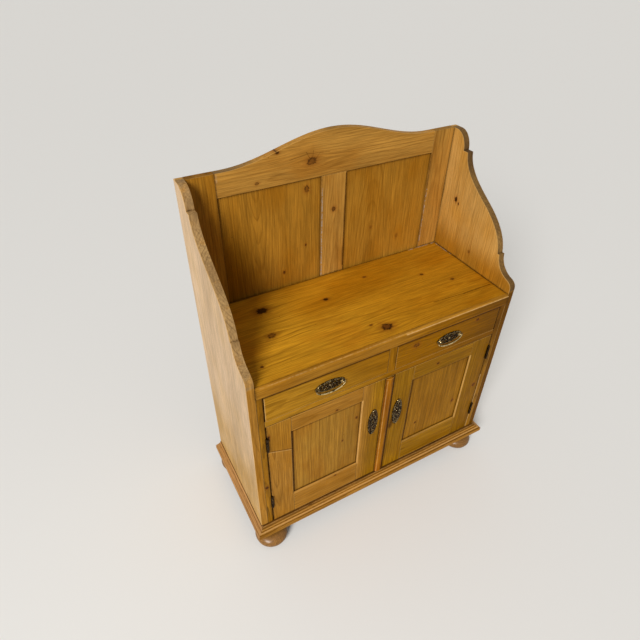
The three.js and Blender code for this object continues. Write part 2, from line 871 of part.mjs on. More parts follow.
function pullPlate(hand) {
  const outline = lobedOval(pullWidth, pullHeight, pullLobes, pullLobe);
  const up = (pullHoleShares.up * pullHeight) / 2;
  for (const share of pullHoleShares.across) {
    const x = (share * pullWidth) / 2;
    outline.holes.push(piercing(x, up, pullHoleWidth, pullHoleHeight));
    outline.holes.push(piercing(x, -up, pullHoleWidth, pullHoleHeight));
  }
  const middle = hand * drawerMiddle;
  const plate = alongY(outline, plateDepths, piercingSteps).translate([middle, 0, pullLevel]);
  const earDepths = [plateDepths[0] - earLength, plateDepths[1] - fit];
  const ears = [middle - earReach, middle + earReach].map((x) =>
    forwardRod(earRadius, x, earDepths, pullLevel, pullSides),
  );
  const ends = [middle - bailReach, middle + bailReach];
  const bores = acrossRod(bailPinRadius + fit, ends, bailY, pullLevel, bailSides);
  return joined([plate, ...ears]).subtract(bores);
}

function bail(hand) {
  const middle = hand * drawerMiddle;
  const shank = plateThick + earLength - bailPivotOut + fit;
  const bowDrop = bailDrop - shank;
  const bow = Array.from({ length: bailSteps + 1 }, (_, i) => {
    const turn = Math.PI * (i / bailSteps);
    return [middle - bailReach * Math.cos(turn), pullLevel - shank - bowDrop * Math.sin(turn)];
  });
  const line = [[middle - bailReach, pullLevel], ...bow, [middle + bailReach, pullLevel]];
  const path = new THREE.CatmullRomCurve3(line.map(([x, z]) => new THREE.Vector3(x, bailY, z)));
  const section = outlineOf(
    Array.from({ length: bailSides }, (_, i) => {
      const turn = (2 * Math.PI * i) / bailSides;
      return [bailRadius * Math.cos(turn), bailRadius * Math.sin(turn)];
    }),
  );
  const bar = new THREE.ExtrudeGeometry(section, { steps: line.length - 1, extrudePath: path });
  const pins = [-1, 1].map((end) => {
    const span = across(end, [earReach - earRadius, bailReach]).map((x) => middle + x);
    return acrossRod(bailPinRadius, span, bailY, pullLevel, bailSides);
  });
  const balls = [-1, 1].map((end) => {
    const ball = new THREE.SphereGeometry(bailRadius, bailSides, bailSides);
    ball.translate(middle + end * bailReach, bailY, pullLevel);
    return toSolid(ball);
  });
  return joined([toSolid(bar), ...pins, ...balls]);
}

// The cabinet, put together
function carcass() {
  const group = new THREE.Group();
  const { honeyPine, palePine, insidePine } = materials;
  const between = inner - fit;
  for (const hand of [-1, 1]) {
    piece(group, `${handName(hand)}_side`, sideBoard(hand), palePine);
    piece(group, `${handName(hand)}_front_stile`, frontStile(hand), honeyPine);
    piece(group, `${handName(hand)}_drawer_guide`, drawerGuide(hand), insidePine);
  }
  piece(group, "worktop", worktop(), honeyPine);
  piece(group, "drawer_divider", drawerDivider(), honeyPine);
  const dust = housedBoard(stileEdge - fit, bodyFront, stileBack, [dustBottom, dustTop]);
  piece(group, "dust_board", dust, honeyPine);
  const shelfFront = bodyFront + shelfSetback;
  const shelfBoard = housedBoard(between, shelfFront, shelfFront, [shelfTop - shelfThick, shelfTop]);
  piece(group, "shelf", shelfBoard, insidePine);
  const bottomHeights = [baseTop + fit, baseTop + bottomThick];
  const floor = housedBoard(stileEdge - fit, doorBack + fit, stileBack, bottomHeights);
  piece(group, "bottom_board", floor, insidePine);
  return group;
}

function panelledBack() {
  const group = new THREE.Group();
  const { honeyPine } = materials;
  piece(group, "back_top_rail", backTopRail(), honeyPine);
  piece(group, "back_bottom_rail", backBottomRail(), honeyPine);
  piece(group, "back_mid_stile", backMidStile(), honeyPine);
  for (const { hand, widths, heights } of backOpenings) {
    piece(group, `back_${handName(hand)}_stile`, backStile(hand), honeyPine);
    piece(group, `back_${handName(hand)}_panel`, panelIn(backFront, widths, heights), honeyPine);
  }
  return group;
}

function base() {
  const group = new THREE.Group();
  const { basePine } = materials;
  piece(group, "base_front", baseFront(), basePine);
  piece(group, "base_left", baseSide(-1), basePine);
  piece(group, "base_right", baseSide(1), basePine);
  for (const { name, x, y } of footPlaces) piece(group, name, bunFoot(), basePine).position.set(x, y, 0);
  return group;
}

function hinges(group, hand, onDoor) {
  const side = onDoor ? "door" : "body";
  for (const [place, level] of [["upper", hingeUpper], ["lower", hingeLower]]) {
    const name = `${handName(hand)}_${place}_hinge_${side}_leaf`;
    piece(group, name, hingeLeaf(hand, level, onDoor), materials.iron);
  }
}

function doorGroup(door) {
  const group = new THREE.Group();
  const { honeyPine, brass, redPine } = materials;
  const name = `${door.name}_door`;
  const panel = panelIn(bodyFront, across(door.hand, door.opening), doorOpeningHeights);
  piece(group, `${name}_outer_stile`, doorOuterStile(door), honeyPine);
  piece(group, `${name}_meeting_stile`, doorMeetingStile(door), honeyPine);
  piece(group, `${name}_top_rail`, doorRail(door, doorTopRailHeights), honeyPine);
  piece(group, `${name}_bottom_rail`, doorRail(door, doorBottomRailHeights), honeyPine);
  piece(group, `${name}_panel`, panel, honeyPine);
  piece(group, `${door.name}_keyhole_plate`, keyPlate(door.hand), brass);
  if (door.hand < 0) piece(group, "meeting_strip", meetingStrip(), redPine);
  hinges(group, door.hand, true);
  return group;
}

function drawerGroup(hand) {
  const group = new THREE.Group();
  const { honeyPine, insidePine, brass } = materials;
  const name = `${handName(hand)}_drawer`;
  const nearName = handName(-hand);
  piece(group, `${name}_front`, drawerFront(hand), honeyPine);
  piece(group, `${name}_${nearName}_side`, drawerSide(hand, drawerWalls[0]), insidePine);
  piece(group, `${name}_${handName(hand)}_side`, drawerSide(hand, drawerWalls[1]), insidePine);
  piece(group, `${name}_back`, drawerBackBoard(hand), insidePine);
  piece(group, `${name}_bottom`, drawerBottom(hand), insidePine);
  piece(group, `${handName(hand)}_pull_plate`, pullPlate(hand), brass);
  piece(group, `${handName(hand)}_pull_bail`, bail(hand), brass);
  return group;
}

const cabinet = new THREE.Group();
cabinet.add(carcass(), panelledBack(), base());
for (const door of doors) {
  const bodyLeaves = new THREE.Group();
  hinges(bodyLeaves, door.hand, false);
  cabinet.add(bodyLeaves, doorGroup(door));
}
for (const hand of [-1, 1]) cabinet.add(drawerGroup(hand));

export default cabinet;
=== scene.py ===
"""The looks of an antique pine dry sink cabinet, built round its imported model, in metres.

Every board is the model's own solid with worn, slightly uneven edges and its own pine figure,
cut from a log that the material describes. The metal fittings are modelled here.
"""

import itertools
import json
import math
import random

import bmesh
import bpy
from mathutils import Matrix, Vector, kdtree, noise

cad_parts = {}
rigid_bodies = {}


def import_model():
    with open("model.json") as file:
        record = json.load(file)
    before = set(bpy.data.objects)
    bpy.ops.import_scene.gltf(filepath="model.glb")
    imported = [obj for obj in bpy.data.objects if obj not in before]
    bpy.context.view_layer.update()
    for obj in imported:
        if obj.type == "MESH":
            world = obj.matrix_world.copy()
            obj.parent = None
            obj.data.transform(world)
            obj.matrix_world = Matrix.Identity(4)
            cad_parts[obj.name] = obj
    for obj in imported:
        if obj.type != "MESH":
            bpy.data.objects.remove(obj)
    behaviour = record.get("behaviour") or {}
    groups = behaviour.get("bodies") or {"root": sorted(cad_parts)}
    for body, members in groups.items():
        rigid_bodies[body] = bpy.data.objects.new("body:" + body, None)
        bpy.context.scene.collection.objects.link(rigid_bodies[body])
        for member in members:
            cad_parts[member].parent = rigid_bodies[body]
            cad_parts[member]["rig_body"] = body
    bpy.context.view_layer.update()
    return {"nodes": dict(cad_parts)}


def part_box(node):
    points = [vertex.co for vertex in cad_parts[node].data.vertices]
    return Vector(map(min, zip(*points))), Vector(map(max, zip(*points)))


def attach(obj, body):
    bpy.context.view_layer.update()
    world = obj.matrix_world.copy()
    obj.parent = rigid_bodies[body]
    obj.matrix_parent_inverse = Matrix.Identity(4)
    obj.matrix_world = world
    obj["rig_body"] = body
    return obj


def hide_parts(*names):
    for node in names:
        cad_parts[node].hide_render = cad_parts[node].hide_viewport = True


MM = 0.001

# Camera, fitted to the photograph's edges
CAMERA_PLACE = (-0.7505, -1.0509, 1.7536)
CAMERA_TURN_DEG = (50.703, -0.666, -28.747)
CAMERA_LENS = 28.22
CAMERA_SENSOR = 36

# Studio: a soft high window at the left, a smaller lower one beside it, and a pale backdrop
FLOOR_SIZE = 80
FLOOR_COLOUR = "#E9E7E3"
FLOOR_BOUNCE = "#8E8880"
FLOOR_ROUGHNESS = 0.85
SKY_COLOUR = "#F4F2EE"
SKY_STRENGTH = 0.36
BACKDROP_STRENGTH = 0.72
KEY_STRENGTH = 2.9
KEY_SOFTNESS_DEG = 26
KEY_TOWARDS = (0.64, 0.54, -0.55)
WINDOW_PLACE = (-2.7, -2.35, 1.9)
WINDOW_AIM = (-0.3, -0.15, 0.4)
WINDOW_SIZE = 1.3
WINDOW_POWER = 28

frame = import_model()


# Colours are written as screen colours and turned into light
def light_of(code):
    """The linear colour of a screen colour such as #A05A20."""
    shares = [int(code[i : i + 2], 16) / 255 for i in (1, 3, 5)]
    linear = [s / 12.92 if s <= 0.04045 else ((s + 0.055) / 1.055) ** 2.4 for s in shares]
    return (*linear, 1)


class Nodes:
    """Adds shader nodes to a tree. What it works out comes back as an output socket."""

    def __init__(self, tree):
        self.tree = tree

    def feed(self, node, values):
        """Links or sets a node's inputs. A colour may be given by its code."""
        for key, value in values.items():
            if isinstance(value, bpy.types.NodeSocket):
                self.tree.links.new(value, node.inputs[key])
            else:
                node.inputs[key].default_value = light_of(value) if isinstance(value, str) else value

    def put(self, kind, values, **settings):
        """Adds a node, sets and feeds it, and gives its outputs."""
        node = self.tree.nodes.new(f"ShaderNode{kind}")
        for key, value in settings.items():
            setattr(node, key, value)
        self.feed(node, values)
        return node.outputs

    def sum(self, operation, a, b=0.0, c=0.0):
        return self.put("Math", {0: a, 1: b, 2: c}, operation=operation)[0]

    def times(self, a, b):
        return self.sum("MULTIPLY", a, b)

    def total(self, start, *terms):
        """The start value plus each term's value times its weight."""
        for value, weight in terms:
            start = self.sum("MULTIPLY_ADD", value, weight, start)
        return start

    def fading(self, value):
        """1 at 0, and less and less towards large values."""
        return self.sum("EXPONENT", self.times(value, -1.0))

    def vector(self, operation, a, b=(0, 0, 0)):
        return self.put("VectorMath", {0: a, 1: b}, operation=operation)[0]

    def measure(self, operation, a, b=(0, 0, 0)):
        """The length of a vector, or the dot product of two."""
        return self.put("VectorMath", {0: a, 1: b}, operation=operation)["Value"]

    def scaled(self, vector, factor):
        return self.put("VectorMath", {0: vector, "Scale": factor}, operation="SCALE")[0]

    def stretched(self, point, scale, offset=(0, 0, 0)):
        """The point times a scale along each axis, plus an offset."""
        return self.put("VectorMath", {0: point, 1: scale, 2: offset}, operation="MULTIPLY_ADD")[0]

    def parts(self, vector):
        return self.put("SeparateXYZ", {0: vector})

    def cloud(self, point, scale, detail=2.0, rough=0.5, channel="Fac", offset=(0, 0, 0)):
        """Noise. Its scale is one number, or one for each axis."""
        scale = scale if isinstance(scale, tuple) else (scale, scale, scale)
        values = {"Vector": self.stretched(point, scale, offset), "Scale": 1.0}
        return self.put("TexNoise", {**values, "Detail": detail, "Roughness": rough})[channel]

    def shaken(self, point, scale, reach):
        """The point moved by noise, up to half the reach either way."""
        moves = self.cloud(point, scale, channel="Color")
        return self.stretched(moves, (reach, reach, reach), (-reach / 2, -reach / 2, -reach / 2))

    def eased(self, value, low, high, to_low=0.0, to_high=1.0):
        """Fades from one level to another while the value goes from low to high."""
        values = {"Value": value, "From Min": low, "From Max": high, "To Min": to_low, "To Max": to_high}
        return self.put("MapRange", values, interpolation_type="SMOOTHSTEP")["Result"]

    def blended(self, share, a, b, how="MIX"):
        return self.put("Mix", {0: share, 6: a, 7: b}, data_type="RGBA", blend_type=how)[2]

    def ramp(self, value, stops):
        node = self.tree.nodes.new("ShaderNodeValToRGB")
        self.feed(node, {"Fac": value})
        points = node.color_ramp.elements
        while len(points) < len(stops):
            points.new(1)
        for point, (place, level) in zip(points, stops):
            point.position = place
            point.color = (level, level, level, 1)
        return node.outputs["Color"]

    def relief(self, height, strength, depth):
        return self.put("Bump", {"Height": height, "Strength": strength, "Distance": depth})["Normal"]

    def marked(self, label):
        """What the mesh says of each face, such as how worn it is."""
        return self.put("Attribute", {}, attribute_name=label)["Fac"]

    def seen_directly(self):
        """1 for what the camera sees, also in reflections and through glass, and 0 for bounced light."""
        rays = self.put("LightPath", {})
        seen = self.sum("MAXIMUM", rays["Is Camera Ray"], rays["Is Glossy Ray"])
        return self.sum("MAXIMUM", seen, rays["Is Transmission Ray"])


def new_material(name):
    """A material, its nodes, and its shader."""
    material = bpy.data.materials.new(name)
    material.use_nodes = True
    tree = material.node_tree
    return material, Nodes(tree), tree.nodes["Principled BSDF"]


def new_object(name, data):
    thing = bpy.data.objects.new(name, data)
    bpy.context.scene.collection.objects.link(thing)
    return thing


def make_camera():
    data = bpy.data.cameras.new("camera")
    data.lens = CAMERA_LENS
    data.sensor_width = CAMERA_SENSOR
    data.clip_end = FLOOR_SIZE
    camera = new_object("camera", data)
    camera.location = CAMERA_PLACE
    camera.rotation_euler = [math.radians(a) for a in CAMERA_TURN_DEG]
    bpy.context.scene.camera = camera


def make_lamp(name, kind, energy, towards, place=(0, 0, 0), **settings):
    data = bpy.data.lights.new(name, kind)
    data.energy = energy
    for key, value in settings.items():
        setattr(data, key, value)
    lamp = new_object(name, data)
    lamp.location = place
    lamp.rotation_euler = Vector(towards).to_track_quat("-Z", "Y").to_euler()


def make_sky():
    """A plain sky that lights softly, and looks paler to the camera and in reflections."""
    world = bpy.data.worlds.new("studio")
    world.use_nodes = True
    n = Nodes(world.node_tree)
    strength = n.total(SKY_STRENGTH, (n.seen_directly(), BACKDROP_STRENGTH - SKY_STRENGTH))
    n.feed(world.node_tree.nodes["Background"], {"Color": SKY_COLOUR, "Strength": strength})
    bpy.context.scene.world = world


def make_floor():
    half = FLOOR_SIZE / 2
    corners = [(-half, -half, 0), (half, -half, 0), (half, half, 0), (-half, half, 0)]
    mesh = bpy.data.meshes.new("floor")
    mesh.from_pydata(corners, [], [(0, 1, 2, 3)])
    material, n, shader = new_material("floor")
    colour = n.blended(n.seen_directly(), FLOOR_BOUNCE, FLOOR_COLOUR)
    n.feed(shader, {"Base Color": colour, "Roughness": FLOOR_ROUGHNESS})
    mesh.materials.append(material)
    floor = new_object("floor", mesh)


def make_studio():
    bpy.context.scene.view_settings.view_transform = "Standard"
    make_lamp("high_window", "SUN", KEY_STRENGTH, KEY_TOWARDS, angle=math.radians(KEY_SOFTNESS_DEG))
    aim = Vector(WINDOW_AIM) - Vector(WINDOW_PLACE)
    make_lamp("low_window", "AREA", WINDOW_POWER, aim, WINDOW_PLACE, size=WINDOW_SIZE)
    make_sky()
    make_floor()


def group(name, inputs, outputs):
    """A new node group: its nodes, its inputs, and the node that takes its results."""
    tree = bpy.data.node_groups.new(name, "ShaderNodeTree")
    for side, sockets in (("INPUT", inputs), ("OUTPUT", outputs)):
        for kind, labels in sockets.items():
            for label in labels.split():
                tree.interface.new_socket(label, in_out=side, socket_type=f"NodeSocket{kind}")
    return Nodes(tree), tree.nodes.new("NodeGroupInput").outputs, tree.nodes.new("NodeGroupOutput")


# The figure of a board: year rings round a pith that lies outside it, and its fibres
WAVE_SCALE = (2.1, 6.5, 6.5)
WAVE_REACH = 0.017
RIPPLE_SCALE = (13, 42, 42)
RIPPLE_REACH = 0.5
YEAR_DRIFT = 0.23
YEAR_DRIFT_REACH = 2.2
WEAKEST_YEAR = 0.35
RING_PROFILE = ((0.0, 0.5), (0.08, 0.03), (0.5, 0.08), (0.78, 0.42), (0.9, 1.0), (0.97, 0.95))
# Noise along, across and through a board: scales, detail and roughness
CLOUDS = {
    "Fibre": ((12, 290, 290), 4.0, 0.65),
    "Streak": ((3.2, 110, 110), 3.0, 0.6),
    "Pore": ((55, 1300, 1300), 1.0),
    "Tone": ((2.4, 10, 10), 3.0),
    "Blotch": ((5, 9, 9), 3.0),
}


def make_figure_group():
    n, given, result = group(
        "pine_figure",
        {"Vector": "Point Pith Tilt Seed", "Float": "Ring"},
        {"Float": "Late Fibre Streak Pore Tone Blotch"},
    )
    point = given["Point"]
    seeded = n.vector("ADD", point, given["Seed"])
    bent = n.shaken(seeded, WAVE_SCALE, WAVE_REACH)
    lean = n.scaled(given["Tilt"], n.parts(point)["X"])
    centred = n.vector("SUBTRACT", point, given["Pith"])
    moved = n.vector("ADD", n.vector("ADD", centred, bent), lean)
    radius = n.measure("LENGTH", n.stretched(moved, (0, 1, 1)))
    years = n.sum("DIVIDE", radius, given["Ring"])
    drift = n.put("TexNoise", {"W": years, "Scale": YEAR_DRIFT}, noise_dimensions="1D")["Fac"]
    years = n.total(years, (drift, YEAR_DRIFT_REACH), (n.cloud(seeded, RIPPLE_SCALE), RIPPLE_REACH))
    late = n.ramp(n.sum("FRACT", years), RING_PROFILE)
    vigour = n.put("TexWhiteNoise", {"W": n.sum("FLOOR", years)}, noise_dimensions="1D")["Value"]
    late = n.times(late, n.eased(vigour, 0.0, 1.0, WEAKEST_YEAR, 1.0))
    n.feed(result, {"Late": late, **{label: n.cloud(seeded, *noise) for label, noise in CLOUDS.items()}})
    return n.tree


# A knot: it pushes the rings aside, and has a disc, a dark rim and a stained halo. Its shape is
# star-like and ragged, and the ranges are in radii
KNOT_REACH = (5.0, 2.4, 1.0)
KNOT_PUSH = 0.86
KNOT_APART = (310, 310, 310)
KNOT_STAR_SCALE = (2.6, 2.6, 0)
KNOT_STAR_REACH = 1.0
KNOT_RAGGED_SCALE = (1.7, 1.7, 0)
KNOT_RAGGED_REACH = 0.7
DISC_RANGE = (1.15, 0.7)
HALO_RANGE = (2.8, 0.8)
RIM_PLACE = 0.85
RIM_SHARPNESS = 3.4
RIM_BREAKS = (0.4, 0.56)
PALE_KNOT_LEVEL = 0.4


def make_knot_group():
    n, given, result = group(
        "knot",
        {"Vector": "Point Place Size", "Float": "Dark Disc Rim Halo"},
        {"Vector": "Point", "Float": "Disc Rim Halo"},
    )
    point, dark = given["Point"], given["Dark"]
    away = n.stretched(n.vector("SUBTRACT", point, given["Place"]), (1, 1, 0))
    radii = n.vector("DIVIDE", away, given["Size"])
    own = n.stretched(given["Place"], KNOT_APART)
    ragged = n.cloud(radii, KNOT_RAGGED_SCALE, 3.0, 0.6, offset=own)
    star = n.cloud(n.vector("NORMALIZE", radii), KNOT_STAR_SCALE, 1.0, offset=own)
    star = n.total(1 - KNOT_STAR_REACH / 2, (star, KNOT_STAR_REACH))
    length = n.sum("SUBTRACT", n.times(n.measure("LENGTH", radii), star), KNOT_RAGGED_REACH / 2)
    length = n.total(length, (ragged, KNOT_RAGGED_REACH))
    edge = n.times(n.sum("SUBTRACT", length, RIM_PLACE), RIM_SHARPNESS)
    rim = n.times(n.fading(n.times(edge, edge)), n.eased(ragged, *RIM_BREAKS))
    level = n.total(PALE_KNOT_LEVEL, (dark, 1 - PALE_KNOT_LEVEL))
    marks = {
        "Disc": n.times(n.eased(length, *DISC_RANGE), dark),
        "Rim": n.times(rim, level),
        "Halo": n.times(n.eased(length, *HALO_RANGE), level),
    }
    near = n.vector("DIVIDE", radii, KNOT_REACH)
    pull = n.times(n.fading(n.measure("DOT_PRODUCT", near, near)), -KNOT_PUSH)
    push = n.stretched(n.scaled(away, pull), (0, 1, 0))
    n.feed(result, {"Point": n.vector("ADD", point, push)})
    n.feed(result, {label: n.sum("MAXIMUM", given[label], value) for label, value in marks.items()})
    return n.tree


# Old wax, soiling and painted shade gathered along the borders of a face, given as its nearest and furthest
# corner
BORDER_PATCH_SCALE = 23
BORDER_PATCHES = (0.25, 0.7, 0.25, 1.0)


def make_border_group():
    n, given, result = group("border", {"Vector": "Point Low High Seed", "Float": "Width"}, {"Float": "Near"})
    point = given["Point"]
    from_low = n.vector("SUBTRACT", point, given["Low"])
    from_high = n.vector("SUBTRACT", given["High"], point)
    nearest = n.parts(n.vector("MINIMUM", from_low, from_high))
    distance = n.sum("MAXIMUM", n.sum("MINIMUM", nearest["X"], nearest["Y"]), 0.0)
    fade = n.fading(n.sum("DIVIDE", distance, given["Width"]))
    patchy = n.cloud(n.vector("ADD", point, given["Seed"]), BORDER_PATCH_SCALE, 4.0)
    n.feed(result, {"Near": n.times(fade, n.eased(patchy, *BORDER_PATCHES))})
    return n.tree


# A mark along a straight line: a split or a joint, a residue of polish, a painted shadow line, or a painted
# highlight along an arris
LINE_RAGGED_SCALE = 110
LINE_RAGGED_REACH = 1.6 * MM
LINE_PATCH_SCALE = 120
LINE_PATCHES = (0.38, 0.62)


def make_line_group():
    inputs = {"Vector": "Point Start Way", "Float": "Width Patchy"}
    n, given, result = group("line", inputs, {"Float": "Near"})
    point, way = given["Point"], given["Way"]
    bent = n.vector("ADD", point, n.shaken(point, LINE_RAGGED_SCALE, LINE_RAGGED_REACH))
    away = n.vector("SUBTRACT", bent, given["Start"])
    share = n.sum("DIVIDE", n.measure("DOT_PRODUCT", away, way), n.measure("DOT_PRODUCT", way, way))
    foot = n.scaled(way, n.put("Clamp", {"Value": share})[0])
    distance = n.measure("LENGTH", n.vector("SUBTRACT", away, foot))
    near = n.fading(n.sum("POWER", n.sum("DIVIDE", distance, given["Width"]), 2.0))
    patch = n.eased(n.cloud(point, LINE_PATCH_SCALE, 3.0), *LINE_PATCHES)
    gap = n.times(n.sum("SUBTRACT", 1.0, patch), given["Patchy"])
    n.feed(result, {"Near": n.times(near, n.sum("SUBTRACT", 1.0, gap))})
    return n.tree


# The colour, gloss and relief of old waxed pine, darkened as painted shade in crevices and between parts. A
# range is two noise values, and the two levels between which the mark fades where they aren't 0 and 1
KNOT_HEART = "#683810"
KNOT_RIM = "#1E0D04"
KNOT_STAIN = "#84470F"
# The colour given next serves both soiling and painted shade in crevices
GRIME_AND_SHADE = "#241303"
WORN_PALE = "#C89B58"
DENT = "#2E1804"
HALO_SHARE, DISC_SHARE, RIM_SHARE, WORN_SHARE, DENT_SHARE = 0.5, 0.88, 0.9, 0.42, 0.75
WARM_PATCHES = (0.42, 0.72, 0.0, 0.75)
DARK_STREAKS = (0.36, 0.62, 1.0, 0.0)
HEART_STREAKS = (0.4, 0.6)
TONE_SHADES = (0.25, 0.75, 0.86, 1.1)
FIBRE_SHADES = (0.32, 0.68, 0.76, 1.16)
PORE_RANGE = (0.66, 0.74)
PORE_SHADE = 0.84
DENT_SCALE = (38, 38, 38)
DENT_RANGE = (0.075, 0.03)
DENTS_LEFT_OUT = 0.82
# Painted shade: ambient occlusion darkens the colour in crevices and between parts, within this reach
CREVICE_REACH = 7 * MM
CREVICE_SAMPLES = 6
CREVICE_RANGE = (0.94, 0.56)
CREVICE_STREAKS = (0.3, 0.6, 0.88, 0.44)
ROUGHNESS_RANGE = (0.2, 0.8, 0.5, 0.38)
WORN_ROUGHNESS = 0.08
DIRT_AND_SHADE_ROUGHNESS = 0.2
RELIEF = {"Late": 0.45, "Fibre": 0.3, "Blotch": 0.9, "Rim": -0.6}
PORE_RELIEF = -0.35
DENT_RELIEF = -1.2


def make_finish_group():
    n, given, result = group(
        "pine_finish",
        {
            "Color": "Early Winter Warm",
            "Float": "Contrast Streaky Late Fibre Streak Pore Tone Blotch Disc Rim Halo Grime Wear",
            "Vector": "Point",
        },
        {"Color": "Color", "Float": "Roughness Height"},
    )
    streak = given["Streak"]
    pore = n.eased(given["Pore"], *PORE_RANGE)
    colour = n.blended(n.times(given["Late"], given["Contrast"]), given["Early"], given["Winter"])
    colour = n.blended(n.eased(given["Blotch"], *WARM_PATCHES), colour, given["Warm"])
    dark = n.times(n.eased(streak, *DARK_STREAKS), given["Streaky"])
    colour = n.blended(dark, colour, given["Winter"])
    shade = n.times(n.eased(given["Tone"], *TONE_SHADES), n.eased(given["Fibre"], *FIBRE_SHADES))
    shade = n.times(shade, n.eased(pore, 0.0, 1.0, 1.0, PORE_SHADE))
    shades = n.put("CombineColor", {0: shade, 1: shade, 2: shade})[0]
    colour = n.blended(1.0, colour, shades, "MULTIPLY")
    heart = n.blended(n.eased(streak, *HEART_STREAKS), KNOT_RIM, KNOT_HEART)
    dents = n.put("TexVoronoi", {"Vector": n.stretched(given["Point"], DENT_SCALE), "Scale": 1.0})
    chosen = n.sum("GREATER_THAN", n.put("SeparateColor", {0: dents["Color"]})[0], DENTS_LEFT_OUT)
    dent = n.times(n.eased(dents["Distance"], *DENT_RANGE), chosen)
    layers = (
        (given["Halo"], HALO_SHARE, KNOT_STAIN),
        (given["Disc"], DISC_SHARE, heart),
        (given["Rim"], RIM_SHARE, KNOT_RIM),
        (given["Wear"], WORN_SHARE, WORN_PALE),
        (dent, DENT_SHARE, DENT),
    )
    for mark, share, paint in layers:
        colour = n.blended(n.times(mark, share), colour, paint)
    # Painted shade: ambient occlusion darkens crevices and gaps between parts, joined with the darkened
    # borders
    crevice = n.put("AmbientOcclusion", {"Distance": CREVICE_REACH}, samples=CREVICE_SAMPLES)["AO"]
    dirt_and_shade = n.times(n.eased(crevice, *CREVICE_RANGE), n.eased(streak, *CREVICE_STREAKS))
    dirt_and_shade = n.sum("MAXIMUM", dirt_and_shade, given["Grime"])
    rough = n.eased(given["Tone"], *ROUGHNESS_RANGE)
    rough = n.total(rough, (given["Wear"], WORN_ROUGHNESS), (dirt_and_shade, DIRT_AND_SHADE_ROUGHNESS))
    height = n.total(0.0, *[(given[label], weight) for label, weight in RELIEF.items()])
    height = n.total(height, (pore, PORE_RELIEF), (dent, DENT_RELIEF))
    n.feed(result, {"Color": n.blended(dirt_and_shade, colour, GRIME_AND_SHADE), "Roughness": rough, "Height": height})
    return n.tree


figure_group = make_figure_group()
knot_group = make_knot_group()
border_group = make_border_group()
line_group = make_line_group()
finish_group = make_finish_group()


# Tones of pine: early wood, winter wood, warm patches, how strongly the rings and streaks show. Some are
# darker copies that paint shade: the fronts' right, the back's shadowed corner, the right side's edges, the
# meeting strip's right flank
TONES = {
    "honey": ("#B68032", "#7E5012", "#A46C18", 0.62, 0.25),
    "light_honey": ("#C89A52", "#966624", "#BC8634", 0.5, 0.2),
    "frame": ("#B9873B", "#805218", "#A66E24", 0.5, 0.25),
    "back": ("#AC7826", "#74480C", "#9C6412", 0.5, 0.2),
    "brown": ("#A07010", "#6C4404", "#8C5C06", 0.7, 0.3),
    "worktop": ("#C88E20", "#8A580E", "#B67414", 0.55, 0.2),
    "quiet": ("#B67C17", "#885206", "#A6680A", 0.42, 0.15),
    "nose": ("#AB7725", "#7A4E10", "#9E6614", 0.6, 0.3),
    "drawer": ("#B68222", "#7E5206", "#A46C0C", 0.6, 0.2),
    "front_brown": ("#9E6600", "#6C4400", "#8C5A00", 0.6, 0.25),
    "right_drawer": ("#764900", "#4E3000", "#684000", 0.55, 0.25),
    "back_shade": ("#885600", "#583400", "#784800", 0.5, 0.2),
    "panel": ("#AE7E2E", "#744A12", "#9C661A", 0.85, 0.3),
    "brown_panel": ("#A4701A", "#624008", "#8E5C0A", 0.85, 0.3),
    "bleached": ("#D4B692", "#BC9566", "#CEAC7E", 0.4, 0.12),
    "bleached_low": ("#C8A062", "#AA8044", "#BA9052", 0.45, 0.18),
    "weathered": ("#B08C5A", "#765A38", "#8A6A44", 0.75, 0.4),
    "dark_edge": ("#8A6838", "#5A4224", "#4C3622", 0.7, 0.4),
    "red": ("#AC6E0E", "#663806", "#925006", 0.9, 0.5),
    "red_shade": ("#603806", "#381E02", "#4A2A02", 0.8, 0.4),
    "base": ("#B47E30", "#70460E", "#966218", 0.8, 0.35),
    "base_top": ("#9A6828", "#5C3A0E", "#7E5014", 0.9, 0.6),
    "base_side": ("#C29058", "#8E6234", "#AE7C42", 0.6, 0.3),
    "foot": ("#8E622C", "#5E3E12", "#7A5220", 0.7, 0.3),
    "inside": ("#C6A370", "#9F7A46", "#BC945C", 0.7, 0.3),
}
WOOD_BUMP = 0.35
WOOD_BUMP_DEPTH = 0.5 * MM
WOOD_SHINE = 0.03
WOOD_COAT = 0.02
FOOT_COAT = 0.7
WOOD_COAT_ROUGHNESS = 0.32
LINE_DEPTH = 1.6
KNOT_LENGTH = 1.35

# How far a pith may lie from its board, in millimetres, and its other unlikenesses
PITH_DEPTHS = (35, 80)
PITH_ASIDE = 0.35
PITH_TILT = 0.03
PITH_LEAN = 0.035
NOISE_REACH = 9

# Colours of the marks. The dark ones serve splits, joints and soiling, and also painted shadow and shade; the
# last one serves painted highlights along arrises.
MARKS = {"crack_and_shadow": "#3C1C00", "grime": "#4E2E06", "residue": "#B4A898", "rubbed_and_highlight": "#D6AA6C"}


# Masks: where another tone takes over. Each is given the nodes, the place and the way that a face looks
def beyond(axis, start, end):
    """Fades in along an axis between two places in millimetres."""
    def mask(n, place, _):
        return n.eased(n.parts(place)[axis], start * MM, end * MM)
    return mask


def facing(axis, most, least):
    """Fades in where a face turns away from an axis."""
    def mask(n, _, face):
        return n.eased(n.sum("ABSOLUTE", n.parts(face)[axis]), most, least)
    return mask


def patches(scale, low, high):
    def mask(n, place, _):
        return n.eased(n.cloud(place, scale, 4.0), low, high)
    return mask


def both(*masks):
    def mask(n, place, face):
        value = 1.0
        for part in masks:
            value = n.times(value, part(n, place, face))
        return value
    return mask


